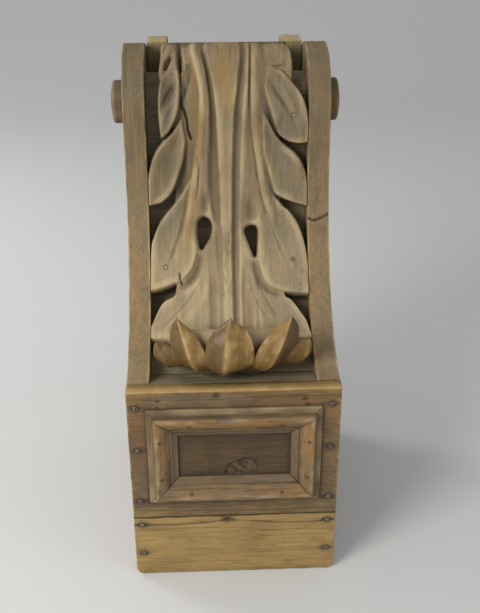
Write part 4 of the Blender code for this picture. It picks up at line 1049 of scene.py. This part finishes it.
def agedWood(name, ownLook):
    # grain runs along look["grain"]; hollow (dirt and painted shade), wear with painted highlights, gold and patina
    # come from the piece where it has them
    look = {**everyWood, **ownLook}
    made = bpy.data.materials.new(name)
    made.use_nodes = True
    tree = made.node_tree
    nodes, links = tree.nodes, tree.links
    shader = nodes["Principled BSDF"]
    shader.inputs["Specular IOR Level"].default_value = look["shine"]
    place = nodes.new("ShaderNodeTexCoord")

    def calc(operation, a, b, clamp=False):
        node = nodes.new("ShaderNodeMath")
        node.operation = operation
        node.use_clamp = clamp
        for slotIndex, item in enumerate((a, b)):
            if hasattr(item, "is_linked"):
                links.new(item, node.inputs[slotIndex])
            else:
                node.inputs[slotIndex].default_value = item
        return node.outputs[0]

    def mixed(amount, a, b, blend="MIX"):
        node = nodes.new("ShaderNodeMix")
        node.data_type = "RGBA"
        node.blend_type = blend
        for socket, item in zip((node.inputs[0], node.inputs[6], node.inputs[7]), (amount, a, b)):
            if hasattr(item, "is_linked"):
                links.new(item, socket)
            elif isinstance(item, tuple):
                socket.default_value = (*item, 1.0)
            else:
                socket.default_value = item
        return node.outputs[2]

    def ramp(source, low, high):
        node = nodes.new("ShaderNodeMapRange")
        node.interpolation_type = "SMOOTHSTEP"
        links.new(source, node.inputs[0])
        node.inputs[1].default_value = low
        node.inputs[2].default_value = high
        return node.outputs[0]

    def stretched(across, along, detail, seed, rough=0.55):
        mapping = nodes.new("ShaderNodeMapping")
        links.new(grainPlace, mapping.inputs[0])
        axis = "XYZ".index(look["grain"])
        mapping.inputs["Scale"].default_value = [along if k == axis else across for k in range(3)]
        mapping.inputs["Location"].default_value = (seed, seed * 0.7, seed * 1.3)
        node = nodes.new("ShaderNodeTexNoise")
        links.new(mapping.outputs[0], node.inputs["Vector"])
        node.inputs["Scale"].default_value = 1.0
        node.inputs["Detail"].default_value = detail
        node.inputs["Roughness"].default_value = rough
        return node.outputs["Fac"]

    def attribute(title):
        node = nodes.new("ShaderNodeAttribute")
        node.attribute_name = title
        return node.outputs["Fac"]

    grainPlace = place.outputs["Object"]
    if look["follows"]:
        # the grain follows the carved face down instead of the upright
        apart, together = nodes.new("ShaderNodeSeparateXYZ"), nodes.new("ShaderNodeCombineXYZ")
        links.new(grainPlace, apart.inputs[0])
        links.new(apart.outputs[0], together.inputs[0])
        links.new(attribute("run"), together.inputs[2])
        grainPlace = together.outputs[0]

    patches = stretched(11, 5, 3, look["seed"])
    cloudy = stretched(28, 16, 4, look["seed"] + 7)
    streaks = stretched(160, 9, 4, look["seed"] + 3)
    fine = stretched(620, 30, 5, look["seed"] + 5, 0.65)
    rings = stretched(75, 4.5, 2, look["seed"] + 11)
    ringLines = calc("FRACT", calc("MULTIPLY", rings, 9.0), 0.0)
    ringDark = ramp(ringLines, 0.55, 0.98)

    colour = mixed(ramp(patches, 0.36, 0.64), look["base"], look["second"])
    greyed = calc("MULTIPLY", attribute("patina"), look["greyShare"], True)
    greyed = calc("ADD", greyed, calc("MULTIPLY", ramp(cloudy, 0.45, 0.72), look["cloudShare"]), True)
    colour = mixed(greyed, colour, look["grey"])
    gold = calc("MULTIPLY", attribute("gold"), look["goldShare"], True)
    colour = mixed(gold, colour, look["gold"])
    mottled = stretched(85, 45, 6, look["seed"] + 23, 0.72)
    layers = [(ringDark, "ringShare", "dark"), (ramp(streaks, 0.50, 0.74), "streakShare", "dark"),
              (ramp(fine, 0.52, 0.70), "fineShare", "dark"), (ramp(fine, 0.50, 0.34), "paleShare", "pale"),
              (ramp(mottled, 0.50, 0.66), "mottle", "dark"), (ramp(mottled, 0.48, 0.34), "mottle", "gold")]
    for amount, strength, tone in layers:
        colour = mixed(calc("MULTIPLY", amount, look[strength]), colour, look[tone])
    # pale: wear, and painted highlights where a piece has them
    wearAndHighlight = calc("MULTIPLY", attribute("wearAndHighlight"), look["wearAndHighlightShare"], True)
    colour = mixed(wearAndHighlight, colour, look["pale"])
    # dark: dirt, and painted shade where a piece has it
    dirtAndShadeAmount = calc("MULTIPLY", attribute("hollow"), look["dirtAndShadeShare"], True)
    colour = mixed(dirtAndShadeAmount, colour, look["sootAndShade"])
    spots = ramp(stretched(120, 90, 3, look["seed"] + 17), 0.66, 0.74)
    colour = mixed(calc("MULTIPLY", spots, look["spotShare"]), colour, look["sootAndShade"])
    # painted shade: the upper end is darker than the lower
    height = nodes.new("ShaderNodeSeparateXYZ")
    links.new(place.outputs["Object"], height.inputs[0])
    above = ramp(height.outputs[2], look["shadeFrom"], look["shadeTo"])
    colour = mixed(calc("MULTIPLY", above, look["above"]), colour, look["sootAndShade"])
    links.new(colour, shader.inputs["Base Color"])

    rough = calc("ADD", look["rough"], calc("MULTIPLY", calc("SUBTRACT", fine, 0.5), look["roughRange"]))
    rough = calc("SUBTRACT", rough, calc("MULTIPLY", gold, look["polish"]), True)
    links.new(rough, shader.inputs["Roughness"])
    relief = calc("ADD", calc("MULTIPLY", fine, 0.55), calc("MULTIPLY", streaks, 0.8))
    relief = calc("SUBTRACT", relief, calc("MULTIPLY", ringDark, 0.35))
    bump = nodes.new("ShaderNodeBump")
    bump.inputs["Strength"].default_value = look["bump"]
    bump.inputs["Distance"].default_value = look["bumpDepth"]
    links.new(relief, bump.inputs["Height"])
    links.new(bump.outputs[0], shader.inputs["Normal"])
    return made


waxedTrim = dict(base=(0.185, 0.115, 0.053), second=(0.150, 0.095, 0.046), grey=(0.185, 0.150, 0.100),
                 gold=(0.265, 0.144, 0.041), dark=(0.065, 0.042, 0.022), pale=(0.430, 0.330, 0.190),
                 sootAndShade=(0.026, 0.019, 0.012), rough=0.50, above=0.0, shine=0.35, greyShare=0.35)
woods = {
    "leafWood": dict(grain="Z", seed=1.0, base=(0.292, 0.210, 0.112), second=(0.238, 0.172, 0.094),
                     grey=(0.215, 0.182, 0.122), gold=(0.320, 0.200, 0.072), dark=(0.105, 0.078, 0.044),
                     pale=(0.500, 0.392, 0.222), sootAndShade=(0.056, 0.045, 0.027), rough=0.70, streakShare=0.16,
                     wearAndHighlightShare=0.70, above=0.26, follows=True, fineShare=0.10, ringShare=0.18, paleShare=0.10,
                     mottle=0.30, bump=0.35),
    "petalWood": dict(grain="Z", seed=2.5, base=(0.150, 0.090, 0.034), second=(0.118, 0.070, 0.027),
                      grey=(0.170, 0.125, 0.072), gold=(0.205, 0.112, 0.028), dark=(0.080, 0.050, 0.022),
                      pale=(0.560, 0.390, 0.175), sootAndShade=(0.050, 0.032, 0.015), rough=0.58, streakShare=0.18, shine=0.3,
                      wearAndHighlightShare=0.85, above=0.0, follows=True, fineShare=0.14, ringShare=0.18, greyShare=0.5,
                      dirtAndShadeShare=0.95, bump=0.3, spotShare=0.2, paleShare=0.06),
    "sideWood": dict(grain="Z", seed=4.0, base=(0.262, 0.182, 0.092), second=(0.205, 0.148, 0.078),
                     grey=(0.202, 0.168, 0.108), gold=(0.320, 0.195, 0.072), dark=(0.085, 0.058, 0.032),
                     pale=(0.560, 0.420, 0.190), sootAndShade=(0.045, 0.034, 0.021), rough=0.70, goldShare=0.7, above=0.42,
                     fineShare=0.12, spotShare=0.10, wearAndHighlightShare=0.9, ringShare=0.22, streakShare=0.3),
    "boxWood": dict(grain="X", seed=9.0, base=(0.168, 0.092, 0.038), second=(0.135, 0.076, 0.033),
                    grey=(0.126, 0.093, 0.056), gold=(0.365, 0.240, 0.084), dark=(0.085, 0.056, 0.028),
                    pale=(0.470, 0.330, 0.150), sootAndShade=(0.030, 0.022, 0.014), rough=0.60, greyShare=0.85, above=0.0,
                    ringShare=0.20, streakShare=0.25, fineShare=0.22),
    "trimWood": dict(grain="X", seed=13.0, **waxedTrim),
    "postTrimWood": dict(grain="Z", seed=15.0, **waxedTrim),
    "innerWood": dict(grain="X", seed=21.0, base=(0.265, 0.212, 0.132), second=(0.205, 0.165, 0.102),
                      grey=(0.205, 0.180, 0.128), gold=(0.230, 0.165, 0.085), dark=(0.060, 0.045, 0.027),
                      pale=(0.300, 0.250, 0.160), sootAndShade=(0.030, 0.024, 0.016), rough=0.88, above=0.0),
    "battenWood": dict(grain="Z", seed=27.0, base=(0.150, 0.125, 0.070), second=(0.120, 0.100, 0.056),
                       grey=(0.140, 0.122, 0.078), gold=(0.380, 0.285, 0.120), dark=(0.080, 0.060, 0.032),
                       pale=(0.480, 0.400, 0.220), sootAndShade=(0.034, 0.028, 0.018), rough=0.84, above=0.0),
}
for woodName, woodLook in woods.items():
    agedWood(woodName, woodLook)


iron = {"lumps": 420, "rust": (0.030, 0.020, 0.014, 1), "rubbed": (0.200, 0.160, 0.130, 1), "rough": 0.55,
        "metallic": 0.35, "bumpDepth": 0.0004}


def makeIron():
    # rusted heads with a few rubbed spots
    made = bpy.data.materials.new("rustyIron")
    made.use_nodes = True
    tree = made.node_tree
    shader = tree.nodes["Principled BSDF"]
    place = tree.nodes.new("ShaderNodeTexCoord")
    rust = tree.nodes.new("ShaderNodeTexNoise")
    rust.inputs["Scale"].default_value = iron["lumps"]
    rust.inputs["Detail"].default_value = 4
    tree.links.new(place.outputs["Object"], rust.inputs["Vector"])
    tones = tree.nodes.new("ShaderNodeValToRGB")
    for stop, position, tone in zip(tones.color_ramp.elements, (0.35, 0.64), ("rust", "rubbed")):
        stop.position, stop.color = position, iron[tone]
    tree.links.new(rust.outputs["Fac"], tones.inputs[0])
    tree.links.new(tones.outputs[0], shader.inputs["Base Color"])
    shader.inputs["Roughness"].default_value = iron["rough"]
    shader.inputs["Metallic"].default_value = iron["metallic"]
    bump = tree.nodes.new("ShaderNodeBump")
    bump.inputs["Strength"].default_value = 0.5
    bump.inputs["Distance"].default_value = iron["bumpDepth"]
    tree.links.new(rust.outputs["Fac"], bump.inputs["Height"])
    tree.links.new(bump.outputs[0], shader.inputs["Normal"])


makeIron()


def putIn(piece, finish, node):
    if finish:
        piece.data.materials.clear()
        piece.data.materials.append(bpy.data.materials[finish])
    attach(piece, "root")
    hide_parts(node)


print("carving the leaf")
leafPieces = [makeLeafBody(), makeCurlCore()] + [makePetal(n, p) for n, p in petals.items()]
for k, piece in enumerate(leafPieces):
    piece.data.materials.append(bpy.data.materials["leafWood" if k < 2 else "petalWood"])
acanthus = joined("carvedLeaf", leafPieces)
putIn(acanthus, None, "acanthus_leaf")  # its two finishes are on it already
print("leaf faces:", len(acanthus.data.polygons))

print("box front and moulding")
for boardName, board in frontBoards.items():
    putIn(makeFrontBoard(boardName, board), "boxWood", board["node"])
for stripName, strip in moulding["strips"].items():
    wood = "trimWood" if strip["way"][0] else "postTrimWood"
    putIn(makeMoulding(stripName, strip), wood, strip["node"])

print("side boards, bosses and battens")
for side, sign in (("left", -1), ("right", 1)):
    putIn(makeSideBoard(side + "Side", sign), "sideWood", side + "_side_board")
    putIn(makeBoss(side + "Turned", sign), "sideWood", side + "_boss")
    putIn(makeBatten(side + "Post", side + "_batten"), "battenWood", side + "_batten")

print("nails")
placeNails()
for nodeName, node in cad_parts.items():  # the inner boards stay as they are built
    if "stave" in nodeName or "rail" in nodeName:
        node.material_slots[0].material = bpy.data.materials["innerWood"]

print("floor, light and camera")

studio = {"tone": 0.60, "rough": 0.95, "half": 7.0, "front": -3.0, "bend": 2.4, "radius": 3.2, "top": 4.0,
          "gap": 0.0004, "air": (0.80, 0.81, 0.82, 1), "airStrength": 0.66}
lamps = {
    "window": dict(place=(-1.7, -1.9, 1.05), aim=(0, -0.2, -0.2), size=1.3, power=60, tint=(1.0, 0.985, 0.96)),
    "fill": dict(place=(1.9, -1.5, 0.7), aim=(0, -0.2, -0.2), size=1.8, power=7, tint=(0.95, 0.97, 1.0)),
    "wash": dict(place=(-1.9, 0.9, 1.0), aim=(-0.5, 1.0, -0.6), size=0.9, power=20, tint=(1.0, 0.99, 0.98)),
}
view = {"place": (-0.0354, -1.4496, 0.9762), "turn": (2.365, 26.284, -0.198), "focal": 900, "tall": 613, "sensor": 36}


def makeStudio():
    # one sheet: a level floor that curves up behind into the backdrop
    r = studio["radius"]
    floorRun = [(y, 0.0) for y in np.linspace(studio["front"], studio["bend"], 12)]
    curve = [(studio["bend"] + r * math.sin(a), r * (1 - math.cos(a))) for a in np.linspace(0, math.pi / 2, 28)[1:]]
    line = np.array(floorRun + curve + [(studio["bend"] + r, studio["top"] + r)])
    sheet = gridPiece("backdrop", 2, len(line))
    for k, vert in enumerate(sheet.data.vertices):
        y, z = line[k // 2]
        vert.co = (studio["half"] * (-1 if k % 2 == 0 else 1), y, underside - studio["gap"] + z)
    finished(sheet)
    paint = bpy.data.materials.new("palePaper")
    paint.use_nodes = True
    shader = paint.node_tree.nodes["Principled BSDF"]
    shader.inputs["Base Color"].default_value = (studio["tone"], studio["tone"], studio["tone"] * 0.985, 1)
    shader.inputs["Roughness"].default_value = studio["rough"]
    shader.inputs["Specular IOR Level"].default_value = 0.1
    sheet.data.materials.append(paint)


def makeLight(name, place, aim, size, power, tint):
    lamp = bpy.data.lights.new(name, "AREA")
    lamp.shape = "DISK"
    lamp.size = size
    lamp.energy = power
    lamp.color = tint
    holder = bpy.data.objects.new(name, lamp)
    bpy.context.scene.collection.objects.link(holder)
    holder.location = place
    holder.rotation_euler = (Vector(aim) - Vector(place)).to_track_quat("-Z", "Y").to_euler()


def makeCamera():
    # yaw, pitch and roll in degrees, with the focal length and the picture's height in pixels
    yaw, pitch, roll = (math.radians(a) for a in view["turn"])
    ahead = Vector((math.sin(yaw) * math.cos(pitch), math.cos(yaw) * math.cos(pitch), -math.sin(pitch)))
    level = Vector((math.cos(yaw), -math.sin(yaw), 0))
    rise = level.cross(ahead)
    right = level * math.cos(roll) + rise * math.sin(roll)
    up = rise * math.cos(roll) - level * math.sin(roll)
    lens = bpy.data.cameras.new("camera")
    lens.sensor_width = view["sensor"]
    lens.lens = view["focal"] / view["tall"] * view["sensor"]
    holder = bpy.data.objects.new("camera", lens)
    bpy.context.scene.collection.objects.link(holder)
    turn = Matrix((right, up, -ahead)).transposed().to_4x4()
    turn.translation = Vector(view["place"]) + Vector((0, 0, underside))
    holder.matrix_world = turn
    bpy.context.scene.camera = holder


makeStudio()
for lampName, lamp in lamps.items():
    makeLight(lampName, **lamp)
world = bpy.data.worlds.new("air")
bpy.context.scene.world = world
world.use_nodes = True
world.node_tree.nodes["Background"].inputs[0].default_value = studio["air"]
world.node_tree.nodes["Background"].inputs[1].default_value = studio["airStrength"]
makeCamera()
bpy.context.scene.view_settings.view_transform = "Standard"
